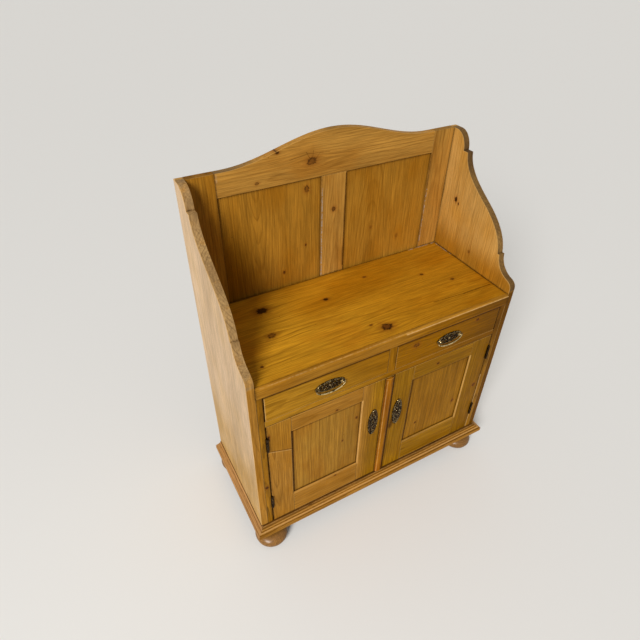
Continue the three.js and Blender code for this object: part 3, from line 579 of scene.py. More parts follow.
def above_line(start, end, soft):
    """Fades in above a slanting line on a front face, given by two places (x, z)."""
    (x0, z0), (x1, z1) = start, end
    slope = (z1 - z0) / (x1 - x0)

    def mask(n, place, _):
        parts = n.parts(place)
        level = n.total((z0 - slope * x0) * MM, (parts["X"], slope))
        return n.eased(n.sum("SUBTRACT", parts["Z"], level), -soft * MM, soft * MM)
    return mask


def reordered(n, point, axes):
    """The point with its axes in the order along, across and through the board."""
    parts = n.parts(point)
    return n.put("CombineXYZ", {i: parts[axis] for i, axis in enumerate(axes)})[0]


def in_order(vector, axes):
    return Vector([vector["XYZ".index(axis)] for axis in axes])


def board_tones(n, tone, zones, place, face):
    """The colours of a board's wood, with another tone in each of its zones."""
    values = list(TONES[tone])
    for mask, other in zones:
        share = mask(n, place, face)
        for i, value in enumerate(TONES[other]):
            if isinstance(value, str):
                values[i] = n.blended(share, values[i], value)
            else:
                values[i] = n.total(values[i], (share, n.sum("SUBTRACT", value, values[i])))
    return dict(zip(("Early", "Winter", "Warm", "Contrast", "Streaky"), values))


def draw_lines(n, colour, height, place, lines):
    for kind, start, end, width, strength, patchy in lines:
        start, end = Vector(start) * MM, Vector(end) * MM
        values = {"Point": place, "Start": start, "Way": end - start, "Width": width * MM, "Patchy": patchy}
        near = n.put("Group", values, node_tree=line_group)["Near"]
        colour = n.blended(n.times(near, strength), colour, MARKS[kind])
        if kind == "crack_and_shadow":
            height = n.total(height, (near, -LINE_DEPTH * strength))
    return colour, height


def draw_knots(n, point, knots):
    """The point moved round the knots, and the masks of their parts."""
    marks = {"Disc": 0.0, "Rim": 0.0, "Halo": 0.0}
    for along, across, size, dark in knots:
        values = {"Point": point, "Place": (along * MM, across * MM, 0), "Dark": dark, **marks}
        values["Size"] = (size * KNOT_LENGTH * MM, size * MM, 1)
        out = n.put("Group", values, node_tree=knot_group)
        point = out["Point"]
        marks = {label: out[label] for label in marks}
    return point, marks


def border_grime_and_shade(n, point, border, axes, seed, strength, width):
    low, high = (in_order(corner, axes) for corner in border)
    values = {"Point": point, "Low": low, "High": high, "Width": width * MM, "Seed": seed}
    return n.times(n.put("Group", values, node_tree=border_group)["Near"], strength)


def pine(
    name, low, high, axes, tone, ring=6.0, depth=None, aside=None, knots=(), border=None, grime=0.0,
    soil=1.5, lean=None, zones=(), lines=(), coat=WOOD_COAT,
):
    """A board's own material. Axes is the order along, across and through it, such as XYZ.

    The pith lies depth millimetres behind or before the board, beside its middle by aside times its
    width, and leans. The value grime is how dark its borders are, with soiling and painted shade, and soil
    how far that reaches, in millimetres.
    """
    dice = random.Random(name)
    border = border or (low, high)
    low, high = in_order(low, axes), in_order(high, axes)
    centre = (low + high) / 2
    side = dice.choice((-1, 1))
    depth = dice.uniform(*PITH_DEPTHS) if depth is None else depth
    aside = dice.uniform(-PITH_ASIDE, PITH_ASIDE) if aside is None else aside
    pith = Vector((0, centre[1] + aside * (high[1] - low[1]), centre[2] + side * depth * MM))
    tilt = dice.uniform(-PITH_TILT, PITH_TILT)
    lean = dice.uniform(-PITH_LEAN, PITH_LEAN) if lean is None else lean
    seed = [dice.uniform(-NOISE_REACH, NOISE_REACH) for _ in range(3)]
    material, n, shader = new_material(name)
    given = n.put("TexCoord", {})
    place = given["Object"]
    flat_point = reordered(n, place, axes)
    point, finish = draw_knots(n, flat_point, knots)
    shifted = n.vector("SUBTRACT", point, (centre[0], 0, 0))
    values = {"Point": shifted, "Pith": pith, "Tilt": (0, tilt, lean), "Ring": ring * MM, "Seed": seed}
    finish.update(n.put("Group", values, node_tree=figure_group).items())
    finish.update(board_tones(n, tone, zones, place, given["Normal"]))
    finish.update(Point=place, Wear=n.marked("wear"))
    if grime:
        finish["Grime"] = border_grime_and_shade(n, flat_point, border, axes, seed, grime, soil)
    done = n.put("Group", finish, node_tree=finish_group)
    colour, height = draw_lines(n, done["Color"], done["Height"], place, lines)
    n.feed(shader, {"Base Color": colour, "Roughness": done["Roughness"]})
    n.feed(shader, {"Normal": n.relief(height, WOOD_BUMP, WOOD_BUMP_DEPTH)})
    n.feed(shader, {"Specular IOR Level": WOOD_SHINE, "Coat Weight": coat})
    n.feed(shader, {"Coat Roughness": WOOD_COAT_ROUGHNESS})
    return material


# Metals
METAL_COARSE, METAL_FINE = 120, 330
METAL_PATINA = (0.3, 0.62)
METAL_RUB = (0.4, 0.58, 0.12, 1.0)
METAL_SPECKS = (0.6, 0.65)
METAL_POLISH = -0.18
METAL_BUMP = 0.3
METAL_BUMP_DEPTH = 0.2 * MM


def metal(name, base, dark, bright, roughness, patina):
    """Aged metal: dark in its recesses, and bright in specks and on the faces that the mesh marks as worn."""
    material, n, shader = new_material(name)
    place = n.put("TexCoord", {})["Object"]
    coarse = n.cloud(place, METAL_COARSE, 4.0)
    fine = n.cloud(place, METAL_FINE, 3.0)
    colour = n.blended(n.eased(coarse, *METAL_PATINA, patina, 0.0), base, dark)
    rubbed_and_highlight = n.times(n.marked("wear"), n.eased(coarse, *METAL_RUB))
    rubbed_and_highlight = n.sum("MAXIMUM", rubbed_and_highlight, n.eased(fine, *METAL_SPECKS))
    n.feed(shader, {"Base Color": n.blended(rubbed_and_highlight, colour, bright), "Metallic": 1.0})
    n.feed(shader, {"Roughness": n.total(roughness, (rubbed_and_highlight, METAL_POLISH))})
    n.feed(shader, {"Normal": n.relief(fine, METAL_BUMP, METAL_BUMP_DEPTH)})
    return material


brass = metal("aged_brass", "#382208", "#0E0700", "#DCC48C", 0.45, 0.95)
iron = metal("hinge_metal", "#1E1206", "#0A0602", "#5E4626", 0.55, 0.9)


# Worn boards
FLAT_DEG = 0.4
SHARP_DEG = 38
SPLIT_EVERY = 11 * MM
ON_PLANE = 0.03 * MM
MERGE = 0.01 * MM
WORN_SEGMENTS = 3
WEAR_SCALES = (14, 60)
WEAR_SHARES = (0.55, 0.4)
LEAST_WEAR = 0.3
WEAR_REACH = 2.4


def on_box(edge, low, high):
    """Whether an edge lies in one of the faces of the node's box."""
    return any(
        all(abs(v.co[axis] - corner[axis]) < ON_PLANE for v in edge.verts)
        for axis in range(3) for corner in (low, high)
    )


def outer_edges(bm, low, high):
    sharp = math.radians(SHARP_DEG)
    inner = [e for e in bm.edges if len(e.link_faces) == 2]
    return [e for e in inner if e.calc_face_angle_signed(0) > sharp and on_box(e, low, high)]


def split_edges(edges):
    for edge in edges:
        start, rest = edge.verts[0], edge
        for left in range(int(edge.calc_length() / SPLIT_EVERY), 0, -1):
            rest, vertex = bmesh.utils.edge_split(rest, start, 1 / (left + 1))
            other = [e for e in vertex.link_edges if e is not rest]
            start = vertex
            rest = next(e for e in other if e.is_valid) if other else rest


def uneven(point):
    """How much wear a place has had: 1 on average."""
    share = 1.0
    for scale, reach in zip(WEAR_SCALES, WEAR_SHARES):
        share += reach * noise.noise(point * scale)
    return max(share, LEAST_WEAR)


def clean_copy(node):
    bm = bmesh.new()
    bm.from_mesh(frame["nodes"][node].data)
    bmesh.ops.remove_doubles(bm, verts=bm.verts, dist=MERGE)
    bmesh.ops.dissolve_limit(bm, angle_limit=math.radians(FLAT_DEG), verts=bm.verts, edges=bm.edges)
    return bm


def wear_down(bm, low, high, radius):
    """Rounds the outer edges, more in some places than in others, and marks the rounded faces."""
    layer = bm.faces.layers.float.new("wear")
    split_edges(outer_edges(bm, low, high))
    edges = outer_edges(bm, low, high)
    places = {v.index: v.co.copy() for e in edges for v in e.verts}
    tree = kdtree.KDTree(len(places))
    for i, place in enumerate(places.values()):
        tree.insert(place, i)
    tree.balance()
    made = bmesh.ops.bevel(
        bm, geom=edges, offset=radius, offset_type="OFFSET", segments=WORN_SEGMENTS, profile=0.5,
        affect="EDGES", clamp_overlap=False,
    )
    for face in made["faces"]:
        face[layer] = 1.0
    for vertex in {v for face in made["faces"] for v in face.verts}:
        place, _, distance = tree.find(vertex.co)
        if distance < WEAR_REACH * radius:
            vertex.co = place + (vertex.co - place) * uneven(place)


def finish_mesh(bm, name):
    sharp = math.radians(SHARP_DEG)
    for face in bm.faces:
        face.smooth = True
    for edge in bm.edges:
        edge.smooth = len(edge.link_faces) != 2 or edge.calc_face_angle(0) < sharp
    mesh = bpy.data.meshes.new(name)
    bm.to_mesh(mesh)
    bm.free()
    return mesh


def show(name, mesh, body, material, nodes):
    """Puts a piece in the scene, on its body, in place of the nodes that it stands for."""
    piece = new_object(name, mesh)
    mesh.materials.append(material)
    shading = piece.modifiers.new("flat_faces_stay_flat", "WEIGHTED_NORMAL")
    shading.keep_sharp = True
    shading.weight = 100
    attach(piece, body)
    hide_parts(*nodes)


def body_of(node):
    return frame["nodes"][node]["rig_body"]


def worn_board(node, material, radius, change):
    """The model's board with worn edges; change may cut it first."""
    bm = clean_copy(node)
    if change:
        change(bm)
    low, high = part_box(node)
    wear_down(bm, low, high, radius * MM)
    show(f"worn_{node}", finish_mesh(bm, node), body_of(node), material, [node])


# Places in millimetres in the model's frame
FRONT = -178
BACK_FRONT = 210
WORKTOP = 769
NOSE_JOINT = -169.5
SIDE_INSIDE = 456
SIDE_OUTSIDE = 480
BASE_TOP = 94
BASE_REACH = 503
PANEL_FRONT = -171
WAY = {"left": -1, "right": 1}

# Knots: along, across, radius, and how dark the heart is
KNOTS = {
    "worktop": [
        (-302, 125, 13, 1.0), (-325, 1, 10, 0.75), (-94, 83, 6, 1.0), (-403, -107, 3.5, 1.0),
        (4, -126, 13, 1.0), (-35, -105, 4.5, 0.7), (87, 133, 4.5, 0.8), (274, 53, 5, 0.7), (351, -19, 5, 0.6),
    ],
    "back_top_rail": [(-78, 1184, 11, 0.6), (-188, 1227, 4, 0.9), (-255, 1150, 4, 0.5)],
    "back_left_panel": [(1098, -92, 8, 0.6), (821, -178, 4, 1.0), (904, -97, 3, 0.8)],
    "back_mid_stile": [(1013, 0, 6, 0.8)],
    "back_right_panel": [(905, 156, 4, 0.2), (842, 272, 5, 0.15)],
    "right_side": [(974, 141, 6, 1.0), (964, 129, 3.5, 0.8), (821, 31, 4, 0.5), (460, 80, 8, 0.7)],
    "right_drawer_front": [(89, 698, 8, 0.55), (339, 707, 4.5, 1.0)],
    "right_door_top_rail": [(201, 568, 4, 0.8)],
    "right_door_outer_stile": [(359, 413, 6, 0.9)],
    "right_front_stile": [(307, 463, 4, 0.9)],
    "left_front_stile": [(305, -448, 5, 1.0)],
    "left_door_outer_stile": [(552, -428, 4, 1.0)],
    "left_door_top_rail": [(-195, 546, 3, 0.8)],
    "left_door_panel": [(457, -113, 4, 0.8), (365, -163, 3, 0.7)],
    "left_door_bottom_rail": [(-189, 192, 3, 0.9)],
    "right_door_panel": [(309, 326, 5, 0.8), (276, 156, 4, 0.8)],
}


def rise(kind, x, low, high, *looks, y=FRONT):
    """A mark straight up a face."""
    return (kind, (x, y, low), (x, y, high), *looks)


def run(kind, level, left, right, *looks, y=FRONT):
    """A mark level across a face."""
    return (kind, (left, y, level), (right, y, level), *looks)


def slant(kind, start, end, *looks, y=FRONT):
    """A mark between two places (x, z) of a face."""
    return (kind, (start[0], y, start[1]), (end[0], y, end[1]), *looks)


def flat(kind, start, end, *looks):
    """A mark between two places (x, y) of the worktop."""
    return (kind, (*start, WORKTOP), (*end, WORKTOP), *looks)


# Marks: kind, places, half width, strength, and how patchy it is
# Dark marks below are real splits, joints and soiling, and also painted shadow where one part shades the
# next; the pale marks along arrises, apart from the residue, are painted highlights.
LINES = {
    "worktop": [
        flat("crack_and_shadow", (-480, NOSE_JOINT), (100, NOSE_JOINT), 1.2, 0.7, 0.6),
        flat("grime", (100, NOSE_JOINT), (455, NOSE_JOINT), 1.0, 0.6, 0.7),
        # Painted highlights along the nose's front arris, and after them a painted shadow line under the nose
        run("rubbed_and_highlight", 767.5, -440, 60, 1.8, 0.3, 0.8, y=-179),
        run("rubbed_and_highlight", 764.3, 40, 455, 1.7, 0.85, 0.3, y=-182),
        slant("grime", (120, 741), (455, 743), 1.2, 0.7, 0.5, y=-183),
        run("crack_and_shadow", 729, -455, 455, 3.4, 0.95, 0.1, y=-182),
        flat("crack_and_shadow", (211, -94), (330, -103), 1.8, 0.8, 0.3),
        flat("crack_and_shadow", (330, -103), (445, -104), 2.2, 0.9, 0.2),
        flat("grime", (-455, 209), (455, 209), 3.5, 0.8, 0.5),
        flat("grime", (455, -165), (455, 209), 3.5, 0.8, 0.5),
        flat("residue", (330, 206), (450, 206), 1.8, 0.7, 1.0),
        flat("residue", (452, 110), (452, 200), 1.8, 0.6, 1.0),
        flat("grime", (-453, -150), (-453, 205), 5, 0.7, 0.3),
    ],
    "back_mid_stile": [
        rise("crack_and_shadow", -43.8, 790, 1120, 1.8, 0.7, 0.6, y=BACK_FRONT),
        rise("residue", -41.5, 775, 1090, 2.0, 0.8, 0.9, y=BACK_FRONT),
        rise("crack_and_shadow", 43, 790, 1125, 2.4, 0.9, 0.2, y=BACK_FRONT),
    ],
    "back_left_stile": [rise("crack_and_shadow", -375.5, 790, 1215, 1.6, 0.7, 0.5, y=BACK_FRONT)],
    "back_right_stile": [
        rise("crack_and_shadow", 375.6, 790, 1122, 2.0, 0.8, 0.4, y=BACK_FRONT),
        rise("residue", 378.2, 790, 1000, 1.8, 0.7, 1.0, y=BACK_FRONT),
    ],
    "back_top_rail": [
        slant("crack_and_shadow", (-150, 1199), (-92, 1208), 0.9, 0.7, 0.4, y=BACK_FRONT),
        slant("crack_and_shadow", (-92, 1208), (-20, 1203), 0.9, 0.7, 0.4, y=BACK_FRONT),
        slant("crack_and_shadow", (-84, 1192), (-97, 1214), 0.8, 0.75, 0.3, y=BACK_FRONT),
        slant("crack_and_shadow", (-76, 1194), (-72, 1216), 0.8, 0.7, 0.3, y=BACK_FRONT),
        slant("crack_and_shadow", (-66, 1190), (-52, 1203), 0.7, 0.65, 0.3, y=BACK_FRONT),
        rise("crack_and_shadow", -374.5, 1131, 1215, 1.4, 0.85, 0.3, y=BACK_FRONT),
        rise("residue", -371, 1175, 1196, 1.8, 0.4, 0.8, y=BACK_FRONT),
        run("grime", 1125.5, -374, 374, 1.6, 0.75, 0.5, y=BACK_FRONT),
    ],
    "left_front_stile": [
        rise("crack_and_shadow", -436.4, 94, 745, 2.6, 0.95, 0.25),
        rise("grime", -455.5, 94, 729, 1.0, 0.5, 0.6),
        slant("grime", (-446, 330), (-447, 700), 0.9, 0.5, 0.7),
    ],
    "right_front_stile": [
        rise("crack_and_shadow", 436, 94, 745, 1.6, 0.85, 0.35),
        # A painted highlight on the arris that faces the light
        rise("rubbed_and_highlight", 438.5, 98, 400, 1.8, 0.75, 0.35),
        rise("crack_and_shadow", 455.5, 94, 729, 1.2, 0.7, 0.5),
    ],
    "drawer_divider": [
        rise("crack_and_shadow", -14.2, 625, 745, 1.2, 0.5, 0.5),
        rise("crack_and_shadow", 14.2, 625, 745, 2.4, 0.9, 0.2),
    ],
    "dust_board": [run("crack_and_shadow", 603.4, -434, 434, 1.5, 0.75, 0.35)],
    "left_door_outer_stile": [
        rise("crack_and_shadow", -432.2, 96, 601, 1.6, 0.8, 0.4),
        slant("crack_and_shadow", (-433, 484), (-352, 452), 1.5, 0.9, 0.2),
        slant("rubbed_and_highlight", (-433, 480), (-352, 448), 1.6, 0.6, 0.4),
        slant("crack_and_shadow", (-430, 556), (-426, 536), 1.6, 0.9, 0.2),
    ],
    "right_door_meeting_stile": [
        # A painted shadow that the meeting strip casts on this stile, beside the gap
        rise("crack_and_shadow", 19.5, 96, 601, 3.2, 0.85, 0.15),
        slant("grime", (37, 374), (28, 336), 10, 0.95, 0.1),
    ],
    "meeting_strip": [
        # The line at the strip's right is a painted shadow that it casts, and the pale line on its left a
        # painted highlight
        rise("crack_and_shadow", -18, 96, 604, 1.4, 0.85, 0.3, y=-180.5),
        rise("crack_and_shadow", 16.8, 96, 604, 2.6, 0.95, 0.1, y=-180.5),
        run("grime", 606, -18, 16, 4, 0.9, 0.2, y=-186),
        rise("rubbed_and_highlight", -12, 96, 590, 1.6, 0.45, 0.5, y=-185),
    ],
}

# Marks along the base's mouldings: kind, place in Y or X, level, and the looks as above. The pale lines are
# painted highlights along the bead, and the dark lines below the joint painted shade in the cove.
FRONT_BASE_MARKS = (
    ("crack_and_shadow", -180, BASE_TOP, 1.3, 0.8, 0.4),
    ("rubbed_and_highlight", -184.5, BASE_TOP, 1.1, 0.35, 0.8),
    ("crack_and_shadow", -187.5, 87.6, 1.2, 0.8, 0.5),
    ("rubbed_and_highlight", -190.5, 85.2, 1.1, 0.4, 0.7),
    ("grime", -194, 83.5, 1.4, 0.85, 0.5),
    ("rubbed_and_highlight", -199, 82.3, 2.0, 0.85, 0.3),
    ("grime", -204, 80, 1.4, 0.8, 0.5),
)
SIDE_BASE_MARKS = (
    ("crack_and_shadow", 482, BASE_TOP, 2.2, 0.9, 0.2),
    ("grime", 488, 84.5, 1.5, 0.6, 0.5),
    ("rubbed_and_highlight", 496, 82.3, 1.8, 0.4, 0.5),
)
SIDE_BASE_ENDS = (-207, 232)


def mark_base():
    LINES["base_front"] = [
        run(kind, level, -BASE_REACH, BASE_REACH, *looks, y=y)
        for kind, y, level, *looks in FRONT_BASE_MARKS
    ]
    LINES["base_front"].append(run("crack_and_shadow", 93.8, -301, -288, 1.6, 1.0, 0.0, y=-186))
    start, end = SIDE_BASE_ENDS
    for hand, way in WAY.items():
        LINES[f"base_{hand}"] = [
            (kind, (way * x, start, level), (way * x, end, level), *looks)
            for kind, x, level, *looks in SIDE_BASE_MARKS
        ]


# Doors: the openings of their frames, and the stiles at the left and right of each
DOOR_LOW, OPENING_LOW, OPENING_HIGH, DOOR_HIGH = 96, 202, 535, 601
OPENINGS = {"left": (-352.5, -100, "outer", "meeting"), "right": (100, 352.5, "meeting", "outer")}
PANEL_SEEN = {"left": 5, "right": 8}


def mark_door(hand):
    """Painted shadow round the panel where the frame shades it, fine lines at the frame's joints, and painted
    highlights on the arrises that face the light.
    """
    left, right, left_stile, right_stile = OPENINGS[hand]
    low, high = OPENING_LOW, OPENING_HIGH

    def mark(part, *lines):
        LINES.setdefault(f"{hand}_door_{part}", []).extend(lines)

    mark(
        "panel",
        rise("crack_and_shadow", left + PANEL_SEEN[hand], low, high, 3.6, 0.9, 0.1, y=PANEL_FRONT),
        run("grime", high - 10, left, right, 2.6, 0.7, 0.3, y=PANEL_FRONT),
        run("grime", low + 1.5, left, right, 3.0, 0.8, 0.3, y=PANEL_FRONT),
        rise("crack_and_shadow", right - 0.5, low, high, 1.2, 0.7, 0.4, y=PANEL_FRONT),
    )
    mark(
        "bottom_rail",
        run("rubbed_and_highlight", low - 0.5, left, right, 1.4, 0.7, 0.4),
        run("rubbed_and_highlight", DOOR_LOW + 1, left, right, 1.4, 0.6, 0.4),
    )
    mark(f"{right_stile}_stile", rise("rubbed_and_highlight", right + 0.8, low, high, 2.0, 0.85, 0.35))
    for stile, x in ((left_stile, left - 0.4), (right_stile, right + 0.4)):
        for start, end in ((DOOR_LOW, low), (high, DOOR_HIGH)):
            mark(f"{stile}_stile", rise("crack_and_shadow", x, start, end, 0.9, 0.75, 0.4))


def mark_drawer(hand):
    """A painted shadow line under the worktop's nose, and painted highlights on its arrises."""
    left, right = sorted((WAY[hand] * 15.5, WAY[hand] * 432.5))
    LINES[f"{hand}_drawer_front"] = [
        run("crack_and_shadow", 724.5, left, right, 3.8, 0.95, 0.1),
        rise("rubbed_and_highlight", -431.7, 627, 719, 1.3, 0.5, 0.3),
        run("rubbed_and_highlight", 626.2, left, right, 1.0, 0.35, 0.6),
    ]


# How dark the borders of a board are where nothing else is said
JOINT_GRIME = 0.5


def board(node, axes, tone, radius, change=None, slot="honey_pine", **looks):
    """One of the model's boards in its own pine, with edges worn to the radius."""
    low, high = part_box(node)
    looks = {"knots": KNOTS.get(node, ()), "lines": LINES.get(node, ()), "grime": JOINT_GRIME, **looks}
    worn_board(node, pine(node, low, high, axes, tone, **looks), radius, change)


def inside_board(node, axes, radius):
    board(node, axes, "inside", radius, slot="inside_pine")


# The worktop's nose is a strip of its own: a fine groove shows the joint
GROOVE_HALF = 0.8
GROOVE_DEPTH = 0.6


def cut_nose_joint(bm):
    for shift in (-GROOVE_HALF, 0, GROOVE_HALF):
        everything = bm.verts[:] + bm.edges[:] + bm.faces[:]
        place = (0, (NOSE_JOINT + shift) * MM, 0)
        bmesh.ops.bisect_plane(bm, geom=everything, plane_co=place, plane_no=(0, 1, 0))
    for vertex in bm.verts:
        on_joint = abs(vertex.co.y - NOSE_JOINT * MM) < ON_PLANE
        if on_joint and abs(vertex.co.z - WORKTOP * MM) < ON_PLANE:
            vertex.co.z -= GROOVE_DEPTH * MM


# Masks on the fronts and edges
BEFORE_BACK = beyond("Y", 225, 215)
BELOW_SCROLL = beyond("Z", WORKTOP + 14, WORKTOP + 2)
ABOVE_SCROLL = beyond("Z", WORKTOP + 2, WORKTOP + 14)
NOSE_FRONT = beyond("Y", -180, -182.6)

# Of each side board: the tones of its scroll, where that is worn, and of its front edge. The right board's
# are painted shade, as its edges face away from the light.
SIDE_TONES = {"left": ("weathered", "honey", "honey"), "right": ("dark_edge", "dark_edge", "right_drawer")}


def side_zones(hand):
    """Bleached outside, dark within by the worktop, and worn along the scroll; on the right board the scroll
    and front edge are painted in shade.
    """
    way = WAY[hand]
    scroll_tone, rub_tone, front_tone = SIDE_TONES[hand]
    outside = beyond("X", way * (SIDE_OUTSIDE - 3.6), way * (SIDE_OUTSIDE - 2.4))
    scroll = both(facing("X", 0.98, 0.85), BEFORE_BACK, ABOVE_SCROLL)
    return [
        (both(beyond("Z", 900, 790), beyond("X", way * 466, way * 460)), "nose"),
        (outside, "bleached"),
        (both(outside, beyond("Z", 560, 200), patches(4, 0.2, 0.6)), "bleached_low"),
        (scroll, scroll_tone),
        (both(scroll, patches(26, 0.5, 0.85)), rub_tone),
        (both(facing("X", 0.75, 0.4), BEFORE_BACK, BELOW_SCROLL), front_tone),
    ]


# The fronts are painted darker towards the right, as shade where the light falls off
FRONT_SHADES = [(beyond("X", -300, 100), "front_brown"), (beyond("X", 150, 520), "right_drawer")]


def make_carcass():
    stile_shade = [(both(beyond("X", 400, 430), beyond("Z", 480, 640)), "right_drawer")]
    for hand in ("left", "right"):
        looks = {"ring": 7, "depth": 70, "grime": 0, "zones": side_zones(hand)}
        board(f"{hand}_side", "ZYX", "light_honey", 1.5, slot="pale_pine", **looks)
        board(f"{hand}_front_stile", "ZXY", "brown_panel", 0.8, ring=4, zones=stile_shade)
        inside_board(f"{hand}_drawer_guide", "YXZ", 0.6)
    edge = SIDE_INSIDE * MM
    looks = {"ring": 6.5, "depth": 60, "grime": 0.8, "soil": 4}
    looks["border"] = (Vector((-edge, -1, 0)), Vector((edge, BACK_FRONT * MM, 1)))
    looks["zones"] = [
        (beyond("X", -150, 150), "quiet"),
        (both(beyond("X", -270, -170), beyond("Y", -30, 50)), "quiet"),
        (beyond("Y", NOSE_JOINT + 0.6, NOSE_JOINT - 0.6), "nose"),
        # Painted shade: the nose's front darkens towards the right, as the fronts below do
        (both(NOSE_FRONT, beyond("X", -80, 200)), "front_brown"),
        (both(NOSE_FRONT, beyond("X", 150, 480)), "right_drawer"),
    ]
    board("worktop", "XYZ", "worktop", 0.6, cut_nose_joint, **looks)
    board("drawer_divider", "ZXY", "drawer", 0.6, ring=4, grime=0, zones=FRONT_SHADES)
    board("dust_board", "XZY", "drawer", 0.8, grime=0, zones=FRONT_SHADES)
    inside_board("shelf", "XYZ", 0.8)
    inside_board("bottom_board", "XYZ", 0.8)


PANEL_HOLD = 8.7


def make_panel(node, tone, **looks):
    """A panel, with soiling and painted shade along the frame that holds its borders."""
    low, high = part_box(node)
    hold = Vector((PANEL_HOLD * MM, 0, PANEL_HOLD * MM))
    board(node, "ZXY", tone, 0.4, border=(low + hold, high - hold), grime=0.7, soil=4, **looks)


def make_back():
    # Faces of the rails that don't face front or back are darker towards the left
    dark_left_edges = [(both(facing("Y", 0.8, 0.4), beyond("X", -200, -330)), "dark_edge")]
    for rail in ("top", "bottom"):
        board(f"back_{rail}_rail", "XZY", "frame", 1.0, ring=7, zones=dark_left_edges)
    # The left stile takes the darker nose tone, painted shade in the corner that the left side shadows
    for stile, tone in (("mid", "frame"), ("left", "nose"), ("right", "frame")):
        board(f"back_{stile}_stile", "ZXY", tone, 0.7, ring=5)
    # Painted shadow of the left side over the lower left of the panels
    shade = [(both(beyond("X", -215, -390), beyond("Z", 1200, 820)), "back_shade")]
    for hand in ("left", "right"):
        make_panel(f"back_{hand}_panel", "back", ring=6, depth=55, aside=-0.15, lean=0.07, zones=shade)


def make_base():
    mark_base()
    top = [(beyond("Z", BASE_TOP - 7, BASE_TOP - 3), "base_top")]
    board("base_front", "XZY", "base", 1.0, slot="base_pine", ring=5, zones=top)
    for hand in ("left", "right"):
        board(f"base_{hand}", "YZX", "base_side", 1.0, slot="base_pine", ring=5, grime=0.2)


# Of each door: the tones of its frame and panel, and of a part of its outer stile. The right door's are
# darker: painted shade where the light falls off towards the right.
DOOR_LOOKS = {
    "left": ("honey", "panel", (above_line((-433, 484), (-361, 456), 1.2), "back")),
    "right": ("brown", "brown_panel", (beyond("X", 300, 520), "right_drawer")),
}


def make_door(hand):
    name = f"{hand}_door"
    tone, panel_tone, zone = DOOR_LOOKS[hand]
    mark_door(hand)
    board(f"{name}_outer_stile", "ZXY", tone, 1.2, ring=5, zones=[zone], grime=0)
    shade = [(beyond("X", -105, -40), "brown")]
    board(f"{name}_meeting_stile", "ZXY", tone, 1.2, ring=5, grime=0, zones=shade)
    for rail in ("top", "bottom"):
        board(f"{name}_{rail}_rail", "XZY", tone, 1.0, ring=6, grime=0)
    make_panel(f"{name}_panel", panel_tone, ring=5, depth=30, aside=0.9)


def make_drawer(hand):
    name = f"{hand}_drawer"
    mark_drawer(hand)
    board(f"{name}_front", "XZY", "drawer", 1.4, ring=8, grime=0.2, zones=FRONT_SHADES)
    for wall in ("left", "right"):
        inside_board(f"{name}_{wall}_side", "YZX", 0.6)
    inside_board(f"{name}_back", "XZY", 0.6)
    inside_board(f"{name}_bottom", "XYZ", 0.4)


def make_meeting_strip():
    shade = [(beyond("X", 5, 10), "red_shade")]
    board("meeting_strip", "ZXY", "red", 0.8, slot="red_pine", ring=3, grime=0, zones=shade)


# Turned, bent and pierced forms, built in millimetres
def skin(bm, rings, sides, closed, wear):
    """Joins rings of vertices with faces. A ring of one vertex is a tip."""
    layer = bm.faces.layers.float["wear"]
    pairs = list(zip(rings, rings[1:])) + ([(rings[-1], rings[0])] if closed else [])
    for below, above in pairs:
        for i in range(sides):
            j = (i + 1) % sides
            corners = [ring[k % len(ring)] for ring, k in ((below, i), (below, j), (above, j), (above, i))]
            face = bm.faces.new(dict.fromkeys(corners))
            face[layer] = wear


def turned(bm, profile, sides, matrix, wear=0.0):
    """A closed turned form from (radius, height) pairs, about Z before the matrix is applied."""
    rings = []
    for radius, height in profile:
        turns = [math.tau * i / sides for i in range(sides if radius else 1)]
        places = [Vector((radius * math.cos(t), radius * math.sin(t), height)) for t in turns]
        rings.append([bm.verts.new(matrix @ place) for place in places])
    skin(bm, rings, sides, False, wear)


def tube(bm, places, radii, sides, closed, wear=0.0):
    """A round bar through places in an upright plane that faces the front."""
    places = [Vector(p) for p in places]
    count = len(places)
    turns = [math.tau * k / sides for k in range(sides)]
    rings = []
    for i, place in enumerate(places):
        after = places[(i + 1) % count] if closed or i + 1 < count else place
        before = places[i - 1] if closed or i else place
        out = (after - before).normalized().cross(Vector((0, 1, 0)))
        ring = [place + radii[i] * (out * math.cos(t) + Vector((0, math.sin(t), 0))) for t in turns]
        rings.append([bm.verts.new(p) for p in ring])
    skin(bm, rings, sides, closed, wear)
    if not closed:
        bm.faces.new(rings[0])
        bm.faces.new(rings[-1])


def new_metal_mesh():
    bm = bmesh.new()
    bm.faces.layers.float.new("wear")
    return bm


def finish_fitting(bm, name, node, material):
    """Turns a form in millimetres into a piece that stands for its node."""
    bmesh.ops.recalc_face_normals(bm, faces=bm.faces)
    bmesh.ops.scale(bm, vec=(MM, MM, MM), verts=bm.verts)
    show(name, finish_mesh(bm, name), body_of(node), material, [node])


def finish_brass(bm, node):
    finish_fitting(bm, f"{node}_cast", node, brass)


def pierced_sheet(loops, thick, soft):
    """A flat sheet with holes and softened edges, in the XY plane."""
    curve = bpy.data.curves.new("sheet", "CURVE")
    curve.dimensions = "2D"
    curve.fill_mode = "BOTH"
    curve.extrude = thick / 2 - soft
    curve.bevel_depth = soft
    curve.bevel_resolution = 1
    curve.offset = -soft
    for loop in loops:
        spline = curve.splines.new("POLY")
        spline.points.add(len(loop) - 1)
        for point, (x, y) in zip(spline.points, loop):
            point.co = (x, y, 0, 1)
        spline.use_cyclic_u = True
    holder = bpy.data.objects.new("sheet", curve)
    mesh = bpy.data.meshes.new_from_object(holder)
    bpy.data.objects.remove(holder)
    bpy.data.curves.remove(curve)
    return mesh


SAME_PLACE = 0.001


